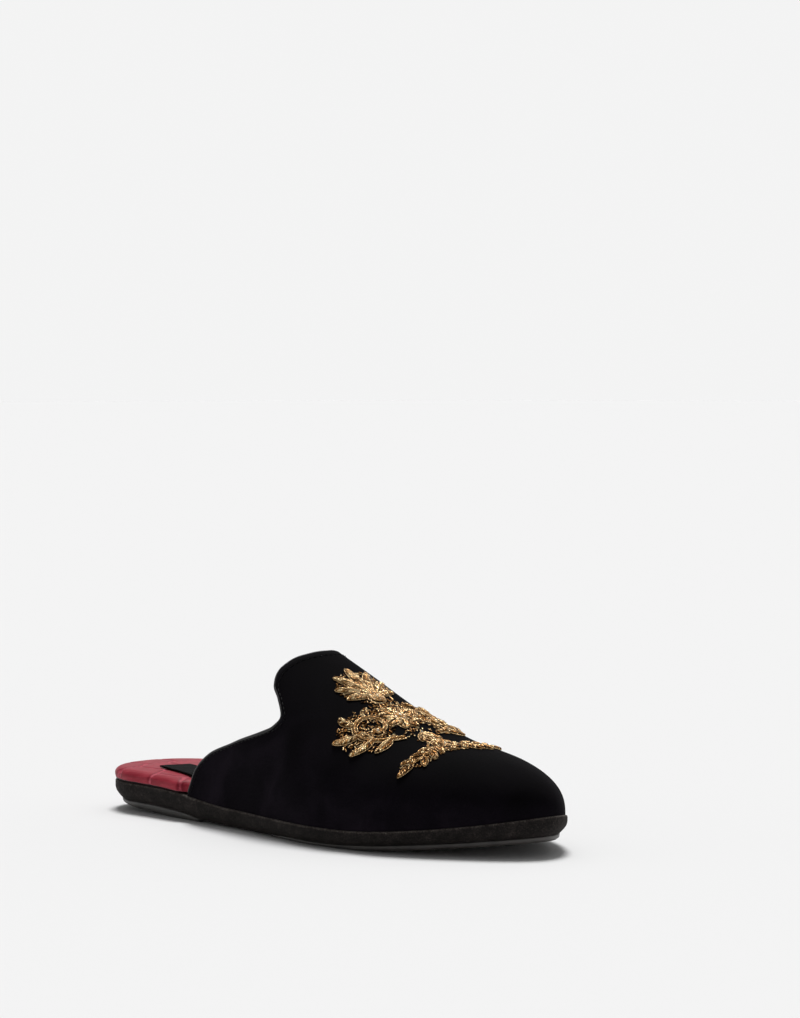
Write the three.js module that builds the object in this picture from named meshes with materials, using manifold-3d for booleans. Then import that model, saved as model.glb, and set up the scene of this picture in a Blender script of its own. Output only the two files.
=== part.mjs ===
// A backless velvet slipper for the right foot, empty and standing on its sole.
// Millimetres, +Z up, toe towards +X, lateral side towards -Y, floor at z = 0.
import * as THREE from "three";
import { mergeVertices } from "three/addons/utils/BufferGeometryUtils.js";
import Module from "manifold-3d";

// Driving sizes of the last
const LENGTH = 290; // heel back to toe tip, along the platform
const BALL_WIDTH = 100; // greatest width of the platform, across the ball
const INSTEP_HEIGHT = 86; // top of the tongue above the floor
const HEEL_HEIGHT = 15; // top of the platform at the heel
const SOLE_HEIGHT = 9.4; // top of the platform at the ball
const TOE_SPRING = 7.3; // lift of the tread at the toe tip
const HEEL_SPRING = 4.3; // lift of the tread at the back of the heel
const HEEL_ROUND = 36; // length of the round at the heel
const TOE_ROUND = 72; // length of the round at the toe

// Sizes of the pieces
const WALL = 1.8; // velvet, stiffener and lining together
const EDGE_ROLL = 0.7; // how far the turned collar edge rolls past the cut
const FEATHER_IN = 1; // step from the platform's outline in to the upper
const BAND_TUCK = 3.6; // how far the platform's side tucks under to its lower edge
const HEEL_PAD = 4.5; // thickness of the rubber under the heel
const FORE_PAD = 2.5; // thickness of the rubber under the ball
const PAD_EDGE = 1.6; // bevel of a pad's lower edge
const PAD_BOW = 7; // how far a pad's end across the waist is hollowed
const ARCH_LIFT = 2.5; // how much higher the waist's underside is on the medial side
const INSOLE_PAD = 6.3; // thickness of the padded insole at the heel
const INSOLE_IN = 0.6; // step from the platform's outline in to the insole at the heel
const INSOLE_ROUND = 3; // radius of the insole's padded edge
const INSOLE_CROWN = 0.5; // how much the padding stands higher along the middle
const LABEL_LENGTH = 42;
const LABEL_WIDTH = 17;
const LABEL_THICKNESS = 0.7;
const GOLDWORK_LENGTH = 92; // top to bottom of the embroidered panel
const GOLDWORK_ACROSS = -4; // how far the panel lies to the lateral side of the ridge
const GOLDWORK_HEIGHT = 1.4; // how far the padded metal thread stands up
const SEAT = 0.3; // clearance between two pieces that lie on each other

// Where the rounds and the fan of toe sections lie, as shares of the length
const SPRING_FROM = 0.7;
const HEEL_SPRING_TO = 0.214;
const FAN_FROM = 0.72;
const FAN_POLE = 0.875;
const LEAN_TO = 0.55;
const HEEL_PAD_END = 0.293;
const FORE_PAD_START = 0.515;

// How square the rounds of heel and toe are, and how fast the tread rises to toe and heel
const HEEL_POWER = 2.2;
const TOE_POWER = 1.975;
const SPRING_POWER = 1.5;
const HEEL_SPRING_POWER = 1.2;

// Platform outline: half widths and axis as shares of the ball width
const OUTLINE = [
  { share: 0.0, lateral: 0.334, medial: 0.334, axis: 0.0 },
  { share: 0.12, lateral: 0.334, medial: 0.348, axis: 0.0 },
  { share: 0.25, lateral: 0.353, medial: 0.327, axis: 0.0 },
  { share: 0.4, lateral: 0.387, medial: 0.302, axis: 0.0 },
  { share: 0.52, lateral: 0.451, medial: 0.337, axis: 0.0 },
  { share: 0.64, lateral: 0.504, medial: 0.429, axis: 0.0 },
  { share: 0.74, lateral: 0.494, medial: 0.501, axis: 0.01 },
  { share: 0.82, lateral: 0.454, medial: 0.496, axis: 0.031 },
  { share: 0.9, lateral: 0.405, medial: 0.45, axis: 0.051 },
  { share: 1.0, lateral: 0.334, medial: 0.368, axis: 0.061 },
];

// Platform thickness: share of the heel's extra height over the ball's
const PLATFORM = [
  { share: 0.0, heel: 1.0 },
  { share: 0.2, heel: 0.85 },
  { share: 0.4, heel: 0.07 },
  { share: 0.6, heel: 0.0 },
  { share: 0.78, heel: -0.04 },
  { share: 0.85, heel: 0.01 },
  { share: 0.92, heel: 0.13 },
  { share: 1.0, heel: 0.4 },
];

// Underside of the platform above the tread: shares of the two pads' thicknesses and of the arch
const UNDERSIDE = [
  { share: 0.0, heel: 0.48, fore: 0.0, arch: 0.0 },
  { share: 0.05, heel: 0.49, fore: 0.0, arch: 0.0 },
  { share: 0.09, heel: 0.59, fore: 0.0, arch: 0.0 },
  { share: 0.12, heel: 0.77, fore: 0.0, arch: 0.0 },
  { share: 0.18, heel: 0.92, fore: 0.0, arch: 0.0 },
  { share: 0.215, heel: 0.9, fore: 0.0, arch: 0.0 },
  { share: 0.255, heel: 0.69, fore: 0.0, arch: 0.0 },
  { share: HEEL_PAD_END, heel: 0.36, fore: 0.0, arch: 0.0 },
  { share: 0.4, heel: 0.05, fore: 0.08, arch: 1.0 },
  { share: FORE_PAD_START, heel: 0.0, fore: 0.34, arch: 0.0 },
  { share: 0.56, heel: 0.0, fore: 0.55, arch: 0.0 },
  { share: 0.66, heel: 0.0, fore: 0.62, arch: 0.0 },
  { share: 0.74, heel: 0.0, fore: 0.86, arch: 0.0 },
  { share: 0.85, heel: 0.0, fore: 0.95, arch: 0.0 },
  { share: 1.0, heel: 0.0, fore: 1.0, arch: 0.0 },
];

// Side of the platform from its top edge down: shares of its height and of the tuck
const BAND = [
  { drop: 0.0, tuck: 0.14 },
  { drop: 0.12, tuck: 0.0 },
  { drop: 0.42, tuck: 0.02 },
  { drop: 0.72, tuck: 0.34 },
  { drop: 1.0, tuck: 1.0 },
];

// Side of a rubber pad from its top edge down: shares of its height and of its bevel
const PAD_SIDE = [
  { drop: 0.0, bevel: 0.0 },
  { drop: 0.55, bevel: 0.12 },
  { drop: 1.0, bevel: 1.0 },
];

// Ridge of the upper: height as a share of the instep height, offset of the ball width
const RIDGE = [
  { share: 0.3, height: 1.219, across: 0.0 },
  { share: 0.4, height: 1.141, across: -0.001 },
  { share: 0.48, height: 1.029, across: -0.002 },
  { share: 0.56, height: 0.897, across: -0.001 },
  { share: 0.66, height: 0.713, across: 0.002 },
  { share: 0.76, height: 0.571, across: 0.018 },
  { share: 0.86, height: 0.505, across: 0.05 },
  { share: 0.94, height: 0.466, across: 0.056 },
  { share: 1.0, height: 0.449, across: 0.06 },
];

// Sections of the upper: how full the arch is, and its lean back as a share of the instep
const SECTION = [
  { share: 0.2, full: 1.966, lean: 0.349 },
  { share: 0.36, full: 2.01, lean: 0.349 },
  { share: 0.48, full: 2.07, lean: 0.256 },
  { share: 0.6, full: 2.256, lean: 0.07 },
  { share: 0.7, full: 2.38, lean: 0.0 },
  { share: 0.8, full: 2.46, lean: 0.0 },
  { share: 1.0, full: 2.457, lean: 0.0 },
];

// Collar: for each level up the section, the share of the length where the upper starts
const COLLAR = [
  { level: 0.0, share: 0.273 },
  { level: 0.038, share: 0.288 },
  { level: 0.093, share: 0.311 },
  { level: 0.158, share: 0.357 },
  { level: 0.231, share: 0.437 },
  { level: 0.308, share: 0.506 },
  { level: 0.36, share: 0.535 },
  { level: 0.43, share: 0.5495 },
  { level: 0.506, share: 0.536 },
  { level: 0.551, share: 0.523 },
  { level: 0.604, share: 0.5205 },
  { level: 0.729, share: 0.529 },
  { level: 0.887, share: 0.541 },
  { level: 1.0, share: 0.544 },
];

// Insole: thickness as a share of the pad, and 1 where it has stepped inside the upper
const INSOLE = [
  { share: 0.0, thick: 1.0, inside: 0 },
  { share: 0.246, thick: 1.0, inside: 0 },
  { share: 0.264, thick: 0.99, inside: 1 },
  { share: 0.5, thick: 0.78, inside: 1 },
  { share: 0.7, thick: 0.6, inside: 1 },
  { share: 1.0, thick: 0.5, inside: 1 },
];
const INSOLE_SLACK = 0.3; // extra room between the insole's side and the upper's lining

// Padded edge of the insole, from its top down, as shares of a quarter turn
const INSOLE_EDGE = [1, 0.28, 0];

// Label: centre along and across the heel, and its turn
const LABEL_SHARE = 0.2;
const LABEL_ACROSS = -0.13;
const LABEL_TURN = THREE.MathUtils.degToRad(-13);

// Where the embroidered panel's zero lies on the ridge
const GOLDWORK_SHARE = 0.638;
const GOLDWORK_SLOPE_OVER = 0.38; // half the stretch that its slope is measured over

// Stations along each piece, between its rounds and in each round
const MIDSOLE_STEPS = { middle: 20, round: 8 };
const HEEL_PAD_STEPS = { middle: 6, round: 7 };
const FORE_PAD_STEPS = { middle: 8, round: 8 };
const INSOLE_STEPS = { middle: 26, round: 8 };

const QUARTER = Math.PI / 2;
const WELD = 1e-3; // corners closer than this are one
const FINE_WELD = 1e-4; // the same for pieces that are joined or cut
const NUDGE = 0.02; // half the stretch that the outline's direction is measured over
const clamp = THREE.MathUtils.clamp;
const lerp = THREE.MathUtils.lerp;

// Smooth curve through a table's rows that never overshoots them
function curve(rows, key, column) {
  const x = rows.map((row) => row[key]);
  const y = rows.map((row) => row[column]);
  const last = x.length - 1;
  const step = x.slice(1).map((value, i) => value - x[i]);
  const rise = step.map((h, i) => (y[i + 1] - y[i]) / h);
  const slope = x.map((_, i) => {
    if (i === 0 || i === last) return 0;
    if (rise[i - 1] * rise[i] <= 0) return 0;
    const before = 2 * step[i] + step[i - 1];
    const after = step[i] + 2 * step[i - 1];
    return (before + after) / (before / rise[i - 1] + after / rise[i]);
  });
  slope[0] = endSlope(step[0], step[1], rise[0], rise[1]);
  slope[last] = endSlope(step[last - 1], step[last - 2], rise[last - 1], rise[last - 2]);
  return (value) => {
    const v = clamp(value, x[0], x[last]);
    let i = 0;
    while (i < last - 1 && v > x[i + 1]) i++;
    const h = step[i];
    const t = (v - x[i]) / h;
    const ends = y[i] * (1 + 2 * t) * (1 - t) ** 2 + y[i + 1] * t ** 2 * (3 - 2 * t);
    return ends + h * (slope[i] * t * (1 - t) ** 2 - slope[i + 1] * t ** 2 * (1 - t));
  };
}

function endSlope(near, next, rise, nextRise) {
  const slope = ((2 * near + next) * rise - near * nextRise) / (near + next);
  if (slope * rise <= 0) return 0;
  if (rise * nextRise <= 0 && Math.abs(slope) > 3 * Math.abs(rise)) return 3 * rise;
  return slope;
}

const lateralAt = curve(OUTLINE, "share", "lateral");
const medialAt = curve(OUTLINE, "share", "medial");
const axisAt = curve(OUTLINE, "share", "axis");
const platformAt = curve(PLATFORM, "share", "heel");
const underHeelAt = curve(UNDERSIDE, "share", "heel");
const underForeAt = curve(UNDERSIDE, "share", "fore");
const archAt = curve(UNDERSIDE, "share", "arch");
const ridgeHeightAt = curve(RIDGE, "share", "height");
const ridgeAcrossAt = curve(RIDGE, "share", "across");
const fullAt = curve(SECTION, "share", "full");
const leanAt = curve(SECTION, "share", "lean");
const collarAt = curve(COLLAR, "level", "share");
const insoleThickAt = curve(INSOLE, "share", "thick");
const insoleInsideAt = curve(INSOLE, "share", "inside");

// How much of the full width is left inside the rounds of heel and toe
function roundEnds(x) {
  const heel = clamp(1 - x / HEEL_ROUND, 0, 1);
  const toe = clamp((x - LENGTH + TOE_ROUND) / TOE_ROUND, 0, 1);
  return (1 - heel ** HEEL_POWER) ** (1 / HEEL_POWER) * Math.sqrt(1 - toe ** TOE_POWER);
}

// Edge of the platform seen from above; hand is -1 on the lateral side and 1 on the medial
function edgeY(x, hand) {
  const half = hand < 0 ? lateralAt(x / LENGTH) : medialAt(x / LENGTH);
  return BALL_WIDTH * (axisAt(x / LENGTH) + hand * half * roundEnds(x));
}

// A point of the outline, moved in towards the middle of the shoe by inset
function edge(x, hand, inset) {
  if (x <= 0) return { x: inset, y: edgeY(0, hand) };
  if (x >= LENGTH) return { x: LENGTH - inset, y: edgeY(LENGTH, hand) };
  const x0 = Math.max(x - NUDGE, 0);
  const x1 = Math.min(x + NUDGE, LENGTH);
  const along = new THREE.Vector2(x1 - x0, edgeY(x1, hand) - edgeY(x0, hand)).normalize();
  return { x: x + hand * along.y * inset, y: edgeY(x, hand) - hand * along.x * inset };
}

// Stations along the shoe, closer together where the outline turns round its ends
function stations(from, to, steps) {
  const toeStart = LENGTH - TOE_ROUND;
  const start = Math.max(from, HEEL_ROUND);
  const end = Math.min(to, toeStart);
  const turns = Array.from({ length: steps.round }, (_, i) => (i * QUARTER) / steps.round);
  const heel = turns.map((turn) => HEEL_ROUND * (1 - Math.cos(turn)));
  const middle = Array.from({ length: steps.middle + 1 }, (_, i) => lerp(start, end, i / steps.middle));
  const toe = turns.map((turn) => toeStart + TOE_ROUND * Math.cos(turn)).reverse();
  return [...(from < HEEL_ROUND ? heel : []), ...middle, ...(to > toeStart ? toe : [])];
}

// Lift of the sole towards the toe tip
function toeSpring(x) {
  const share = clamp((x / LENGTH - SPRING_FROM) / (1 - SPRING_FROM), 0, 1);
  return TOE_SPRING * share ** SPRING_POWER;
}

// Heights of the tread, of the pads' tops, of the platform's top and of the insole's top
function treadZ(x) {
  const share = clamp(1 - x / LENGTH / HEEL_SPRING_TO, 0, 1);
  return toeSpring(x) + HEEL_SPRING * share ** HEEL_SPRING_POWER;
}

function padTopZ(x) {
  return treadZ(x) + HEEL_PAD * underHeelAt(x / LENGTH) + FORE_PAD * underForeAt(x / LENGTH);
}

function platformZ(x) {
  return toeSpring(x) + SOLE_HEIGHT + (HEEL_HEIGHT - SOLE_HEIGHT) * platformAt(x / LENGTH);
}

function insoleZ(x) {
  return platformZ(x) + SEAT + INSOLE_PAD * insoleThickAt(x / LENGTH);
}

// Closed solid from rows of points and the faces between them
function solid(points, faces) {
  const geometry = new THREE.BufferGeometry();
  geometry.setAttribute("position", new THREE.Float32BufferAttribute(points.flat(), 3));
  geometry.setIndex(faces.flat());
  const merged = mergeVertices(geometry, WELD);
  const kept = [];
  const index = merged.index.array;
  for (let i = 0; i < index.length; i += 3) {
    const [a, b, c] = index.slice(i, i + 3);
    if (a !== b && b !== c && c !== a) kept.push(a, b, c);
  }
  merged.setIndex(kept);
  return merged;
}

// Skin round a list of rings
function skin(rings, capStart, capEnd) {
  const size = rings[0].length;
  const faces = [];
  for (let i = 0; i < rings.length - 1; i++) {
    for (let j = 0; j < size; j++) {
      const a = i * size + j;
      const b = i * size + ((j + 1) % size);
      faces.push([a, b, b + size], [a, b + size, a + size]);
    }
  }
  const top = size - 1;
  const last = (rings.length - 1) * size;
  for (let j = 0; j < top - 1; j++) {
    if (capStart) faces.push([top, j + 1, j]);
    if (capEnd) faces.push([last + top, last + j, last + j + 1]);
  }
  return solid(rings.flat(), faces);
}

// A ring across the shoe: down the lateral side, middle below, up the medial side, middle above
function ring(x, profile, above, below) {
  const down = (hand) => profile.map(({ inset, z }) => {
    const p = edge(x, hand, inset);
    return [p.x, p.y, z(p.x, hand)];
  });
  const lateral = down(-1);
  const medial = down(1);
  const middle = (a, b, z) => {
    const mx = (a[0] + b[0]) / 2;
    return [mx, (a[1] + b[1]) / 2, z(mx, 0)];
  };
  const bottom = middle(lateral.at(-1), medial.at(-1), below);
  const top = middle(lateral[0], medial[0], above);
  return [...lateral, bottom, ...medial.reverse(), top];
}

function midsole() {
  const underside = (x, hand) => padTopZ(x) + SEAT + (ARCH_LIFT * archAt(x / LENGTH) * (1 + hand)) / 2;
  const profile = BAND.map(({ drop, tuck }) => ({
    inset: BAND_TUCK * tuck,
    z: (x, hand) => lerp(platformZ(x), underside(x, hand), drop),
  }));
  const rings = stations(0, LENGTH, MIDSOLE_STEPS).map((x) => ring(x, profile, platformZ, underside));
  return skin(rings, false, false);
}

// A rubber pad between two stations; hollow gives the bow of its end across the waist
function pad(from, to, steps, hollow) {
  const profile = PAD_SIDE.map(({ drop, bevel }) => ({
    inset: BAND_TUCK + PAD_EDGE * bevel,
    z: (x) => lerp(padTopZ(x), treadZ(x), drop),
  }));
  const rings = stations(from, to, steps).map((x) => {
    const points = ring(x, profile, padTopZ, treadZ);
    const shift = hollow(x);
    for (const [i, z] of [[profile.length, treadZ], [points.length - 1, padTopZ]]) {
      points[i][0] += shift;
      points[i][2] = z(points[i][0]);
    }
    return points;
  });
  return skin(rings, from > 0, to < LENGTH);
}

function heelPad() {
  const end = HEEL_PAD_END * LENGTH;
  const hollow = (x) => -PAD_BOW * clamp((x - HEEL_ROUND) / (end - HEEL_ROUND), 0, 1) ** 2;
  return pad(0, end, HEEL_PAD_STEPS, hollow);
}

function forePad() {
  const start = FORE_PAD_START * LENGTH;
  const flat = LENGTH - TOE_ROUND;
  const hollow = (x) => PAD_BOW * clamp((flat - x) / (flat - start), 0, 1) ** 2;
  return pad(start, LENGTH, FORE_PAD_STEPS, hollow);
}

function insole() {
  const inside = FEATHER_IN + WALL + SEAT + INSOLE_SLACK;
  const rings = stations(0, LENGTH, INSOLE_STEPS).map((x) => {
    const inset = lerp(INSOLE_IN, inside, insoleInsideAt(x / LENGTH));
    const rounded = INSOLE_EDGE.map((turn) => ({
      inset: inset + INSOLE_ROUND * (1 - Math.cos(turn * QUARTER)),
      z: (at) => insoleZ(at) - INSOLE_ROUND * (1 - Math.sin(turn * QUARTER)),
    }));
    const under = (at) => platformZ(at) + SEAT;
    const crown = (at) => insoleZ(at) + INSOLE_CROWN * roundEnds(at);
    return ring(x, [...rounded, { inset, z: under }], crown, under);
  });
  return skin(rings, false, false);
}

function label() {
  const x = LABEL_SHARE * LENGTH;
  const box = new THREE.BoxGeometry(LABEL_LENGTH, LABEL_WIDTH, LABEL_THICKNESS, 4, 2, 1);
  box.rotateZ(LABEL_TURN);
  box.translate(x, LABEL_ACROSS * BALL_WIDTH, 0);
  const position = box.attributes.position;
  for (let i = 0; i < position.count; i++) {
    const at = position.getX(i);
    const lift = insoleZ(at) + INSOLE_CROWN + SEAT + LABEL_THICKNESS / 2;
    position.setZ(i, position.getZ(i) + lift);
  }
  box.deleteAttribute("normal");
  box.deleteAttribute("uv");
  return mergeVertices(box, WELD);
}

// Where the section that starts at station x on the feather line meets the ridge
function spineX(x) {
  const share = x / LENGTH;
  const reach = (FAN_POLE - FAN_FROM) / (1 - FAN_FROM);
  const fan = clamp((share - FAN_FROM) / (1 - FAN_FROM), 0, 1);
  const gathered = FAN_FROM + (FAN_POLE - FAN_FROM) * (1 - (1 - fan) ** (1 / reach));
  const base = share < FAN_FROM ? share : gathered;
  return base * LENGTH - INSTEP_HEIGHT * leanAt(share);
}

// Outer face of the upper: level 0 is the feather line and level 1 the ridge
function upperPoint(x, level, hand) {
  const share = x / LENGTH;
  const turn = level * QUARTER;
  const power = 2 / fullAt(share);
  const out = Math.max(Math.cos(turn), 0) ** power;
  const up = Math.sin(turn) ** power;
  const foot = edge(x, hand, FEATHER_IN);
  const spine = spineX(x);
  const blend = THREE.MathUtils.smoothstep(share, LEAN_TO, FAN_FROM);
  const along = lerp(up, 1 - out, blend);
  const px = lerp(foot.x, spine, along);
  const ridgeY = BALL_WIDTH * ridgeAcrossAt(spine / LENGTH);
  const low = platformZ(px) + SEAT;
  const high = INSTEP_HEIGHT * ridgeHeightAt(px / LENGTH);
  return [px, lerp(ridgeY, foot.y, out), lerp(low, high, up)];
}

// Station along a level line: even steps from the collar, then round the toe
function stationOn(level, t) {
  const start = collarAt(level) * LENGTH;
  const straight = LENGTH - TOE_ROUND - start;
  const way = t * (straight + TOE_ROUND * QUARTER);
  if (way < straight) return start + way;
  return LENGTH - TOE_ROUND + TOE_ROUND * Math.sin((way - straight) / TOE_ROUND);
}

const LEVELS = 16; // level lines on each side, closer together towards the feather
const LEVEL_POWER = 1.35;
const STEPS = 25; // steps from the collar to the toe

const distance = (a, b) => Math.hypot(a[0] - b[0], a[1] - b[1], a[2] - b[2]);

// The lasted surface as a net of points: its rows run from the lateral feather over the ridge
function upperNet() {
  const points = [];
  const rows = 2 * LEVELS;
  for (let r = 0; r <= rows; r++) {
    const hand = r <= LEVELS ? -1 : 1;
    const level = (1 - Math.abs(r - LEVELS) / LEVELS) ** LEVEL_POWER;
    for (let c = 0; c <= STEPS; c++) {
      points.push(upperPoint(stationOn(level, c / STEPS), level, hand));
    }
  }
  const width = STEPS + 1;
  const id = (r, c) => (c === STEPS && r > LEVELS ? (rows - r) * width + c : r * width + c);
  const faces = [];
  for (let r = 0; r < rows; r++) {
    for (let c = 0; c < STEPS; c++) {
      const [a, b, d, e] = [id(r, c), id(r, c + 1), id(r + 1, c + 1), id(r + 1, c)];
      const shorter = distance(points[a], points[d]) < distance(points[b], points[e]);
      faces.push(...(shorter ? [[a, b, d], [a, d, e]] : [[a, b, e], [b, d, e]]));
    }
  }
  const geometry = new THREE.BufferGeometry();
  geometry.setAttribute("position", new THREE.Float32BufferAttribute(points.flat(), 3));
  geometry.setIndex(faces.flat());
  geometry.computeVertexNormals();
  const normal = geometry.attributes.normal;
  const normals = points.map((_, i) => new THREE.Vector3().fromBufferAttribute(normal, i));
  for (let c = 0; c <= STEPS; c++) {
    for (const i of [id(0, c), id(rows, c)]) normals[i].setZ(0).normalize();
  }
  return { points, normals, faces, id, rows };
}

const net = upperNet();

// Shell between two distances from the lasted surface, with its collar edge rolled by roll
function shell(outside, inside, roll) {
  const { points, normals, faces, id, rows } = net;
  const count = points.length;
  const point = (i) => new THREE.Vector3(...points[i]);
  const place = (i, away) => point(i).addScaledVector(normals[i], away).toArray();
  const outer = points.map((_, i) => place(i, outside));
  const inner = points.map((_, i) => place(i, inside));
  const all = [...faces, ...faces.map(([a, b, d]) => [a + count, d + count, b + count])];
  const rim = [];
  for (let r = 0; r <= rows; r++) {
    const at = point(id(r, 0));
    const back = at.clone().sub(point(id(r, 1))).normalize();
    const middle = at.addScaledVector(normals[id(r, 0)], (outside + inside) / 2);
    middle.addScaledVector(back, roll);
    if (r === 0 || r === rows) middle.z = points[id(r, 0)][2];
    rim.push(middle.toArray());
  }
  const rimStart = 2 * count;
  for (let r = 0; r < rows; r++) {
    const [a, b] = [id(r, 0), id(r + 1, 0)];
    const [m, n] = [rimStart + r, rimStart + r + 1];
    all.push([a, b, n], [a, n, m], [m, n, b + count], [m, b + count, a + count]);
  }
  for (let c = 0; c < STEPS; c++) {
    const [a, b] = [id(0, c), id(0, c + 1)];
    const [d, e] = [id(rows, c), id(rows, c + 1)];
    all.push([b, a, a + count], [b, a + count, b + count]);
    all.push([d, e, e + count], [d, e + count, d + count]);
  }
  const [first, end] = [id(0, 0), id(rows, 0)];
  all.push([first, rimStart, first + count], [end, end + count, rimStart + rows]);
  return solid([...outer, ...inner, ...rim], all);
}

const wasm = await Module();
wasm.setup();

// To and from the solids that are joined and cut
function toManifold(geometry) {
  const bare = geometry.clone();
  for (const name of ["normal", "uv"]) bare.deleteAttribute(name);
  const merged = mergeVertices(bare, FINE_WELD);
  const triVerts = new Uint32Array(merged.index.array);
  const vertProperties = new Float32Array(merged.attributes.position.array);
  return new wasm.Manifold(new wasm.Mesh({ numProp: 3, vertProperties, triVerts }));
}

function toGeometry(body) {
  const mesh = body.getMesh();
  const geometry = new THREE.BufferGeometry();
  geometry.setAttribute("position", new THREE.BufferAttribute(mesh.vertProperties, 3));
  geometry.setIndex(new THREE.BufferAttribute(mesh.triVerts, 1));
  return geometry;
}

// Embroidered motifs, drawn flat: x across to the medial side, y up towards the tongue.
// Places and lengths are shares of the panel's length, and turns are degrees from straight up.
const LEAF = { steps: 5, root: 0.16, belly: 0.85, round: 0.8, tip: 0.06 };

// Outline of a petal or leaf that grows from (x, y), turned by turn and curling by curl on its way
function leaf({ x, y, turn, length, width, curl = 0, start = 0 }) {
  const left = [];
  const right = [];
  let [px, py] = [x, y];
  for (let i = 0; i <= LEAF.steps; i++) {
    const t = i / LEAF.steps;
    const heading = THREE.MathUtils.degToRad(turn + curl * (t - 0.5));
    const step = i === 0 ? start : (length - start) / LEAF.steps;
    px += Math.sin(heading) * step;
    py += Math.cos(heading) * step;
    const swell = Math.sin(Math.PI * t ** LEAF.belly) ** LEAF.round;
    const half = (width / 2) * (i === LEAF.steps ? LEAF.tip : lerp(LEAF.root, 1, swell));
    left.push([px - Math.cos(heading) * half, py + Math.sin(heading) * half]);
    right.unshift([px + Math.cos(heading) * half, py - Math.sin(heading) * half]);
  }
  return [...left, ...right];
}

// Outline of a stem or scroll whose heading turns by sweep, the more towards its tip by tighten
function stem({ x, y, turn, sweep, length, width, tip = width, tighten = 1, steps = 10 }) {
  const left = [];
  const right = [];
  const path = [];
  let [px, py] = [x, y];
  for (let i = 0; i <= steps; i++) {
    const t = i / steps;
    const degrees = turn + sweep * t ** tighten;
    const heading = THREE.MathUtils.degToRad(degrees);
    const step = i === 0 ? 0 : length / steps;
    px += Math.sin(heading) * step;
    py += Math.cos(heading) * step;
    const half = lerp(width, tip, t) / 2;
    path.push({ x: px, y: py, turn: degrees });
    left.push([px - Math.cos(heading) * half, py + Math.sin(heading) * half]);
    right.unshift([px + Math.cos(heading) * half, py - Math.sin(heading) * half]);
  }
  return { outline: [...left, ...right], path };
}

// A stem with its leaves; each leaf grows from a step of the stem and turns away from it
function leafyStem(back, leaves) {
  const { outline, path } = stem(back);
  const outlines = [outline];
  for (const { step, away, ...shape } of leaves) {
    const { x, y, turn } = path.at(step);
    outlines.push(leaf({ x, y, turn: turn + away, ...shape }));
  }
  return { outlines, end: path.at(-1) };
}

function disc(x, y, radius, steps = 12) {
  return Array.from({ length: steps }, (_, i) => {
    const turn = (2 * Math.PI * i) / steps;
    return [x + radius * Math.sin(turn), y + radius * Math.cos(turn)];
  });
}

const mirrored = (outline, hand) => outline.map(([x, y]) => [hand * x, y]);

// Palmette at the tongue end: seven petals on a boss
const PALMETTE = { x: 0, y: 0.03, boss: 0.052, start: 0.035, curl: 0.35 };
const PALMETTE_PETALS = [
  { turn: 0, length: 0.275, width: 0.07 },
  { turn: 25, length: 0.255, width: 0.066 },
  { turn: 50, length: 0.215, width: 0.06 },
  { turn: 76, length: 0.165, width: 0.052 },
];

function palmette() {
  const { x, y, boss, start, curl } = PALMETTE;
  const outlines = [disc(x, y, boss)];
  for (const { turn, length, width } of PALMETTE_PETALS) {
    for (const side of turn ? [-turn, turn] : [0]) {
      outlines.push(leaf({ x, y, turn: side, length, width, start, curl: side * curl }));
    }
  }
  return outlines;
}

// Rosette: petals round a boss
const ROSETTE = { x: 0, y: -0.165, boss: 0.046, petals: 8, first: 22.5 };
const ROSETTE_PETAL = { length: 0.114, width: 0.066, start: 0.028 };

function rosette() {
  const { x, y, boss, petals, first } = ROSETTE;
  const outlines = [disc(x, y, boss)];
  for (let i = 0; i < petals; i++) {
    outlines.push(leaf({ x, y, turn: first + (360 * i) / petals, ...ROSETTE_PETAL }));
  }
  return outlines;
}

// Scroll at the side: a stem that sweeps outwards and ends in a curl, with leaves on its back
const SCROLL = {
  x: 0.11,
  y: -0.35,
  turn: 80,
  sweep: -345,
  tighten: 1.75,
  length: 0.62,
  width: 0.038,
  tip: 0.022,
  steps: 15,
};
const SCROLL_LEAVES = [
  { step: 2, away: 42, length: 0.12, width: 0.05, curl: -40 },
  { step: 4, away: 44, length: 0.12, width: 0.05, curl: -40 },
  { step: 6, away: 46, length: 0.115, width: 0.048, curl: -40 },
  { step: 8, away: 50, length: 0.105, width: 0.044, curl: -40 },
  { step: 10, away: 56, length: 0.085, width: 0.038, curl: -40 },
  { step: 4, away: -40, length: 0.1, width: 0.04, curl: 40 },
];
const SCROLL_EYE = 0.03; // radius of the disc that its curl ends in

function scroll(hand) {
  const { outlines, end } = leafyStem(SCROLL, SCROLL_LEAVES);
  return [...outlines, disc(end.x, end.y, SCROLL_EYE)].map((outline) => mirrored(outline, hand));
}

// Spray towards the toe: a curved stem with leaves on both sides and one at its tip
const SPRAY = {
  x: 0.062,
  y: -0.52,
  turn: 123,
  sweep: -26,
  length: 0.2,
  width: 0.02,
  tip: 0.014,
  steps: 6,
};
const SPRAY_LEAVES = [
  { step: 1, away: -42, length: 0.085, width: 0.036, curl: 20 },
  { step: 3, away: -42, length: 0.085, width: 0.036, curl: 20 },
  { step: 5, away: -42, length: 0.08, width: 0.034, curl: 20 },
  { step: 0, away: 44, length: 0.085, width: 0.036, curl: -20 },
  { step: 2, away: 44, length: 0.085, width: 0.036, curl: -20 },
  { step: 4, away: 44, length: 0.08, width: 0.034, curl: -20 },
  { step: 6, away: 0, length: 0.09, width: 0.036 },
];

function spray(hand) {
  return leafyStem(SPRAY, SPRAY_LEAVES).outlines.map((outline) => mirrored(outline, hand));
}

// Drop along the middle: three husks, each smaller than the one above it
const HUSK = { top: -0.345, pitch: 0.094, length: 0.105, width: 0.04, spread: 38 };
const HUSK_SIZES = [1, 0.86, 0.74];

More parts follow.
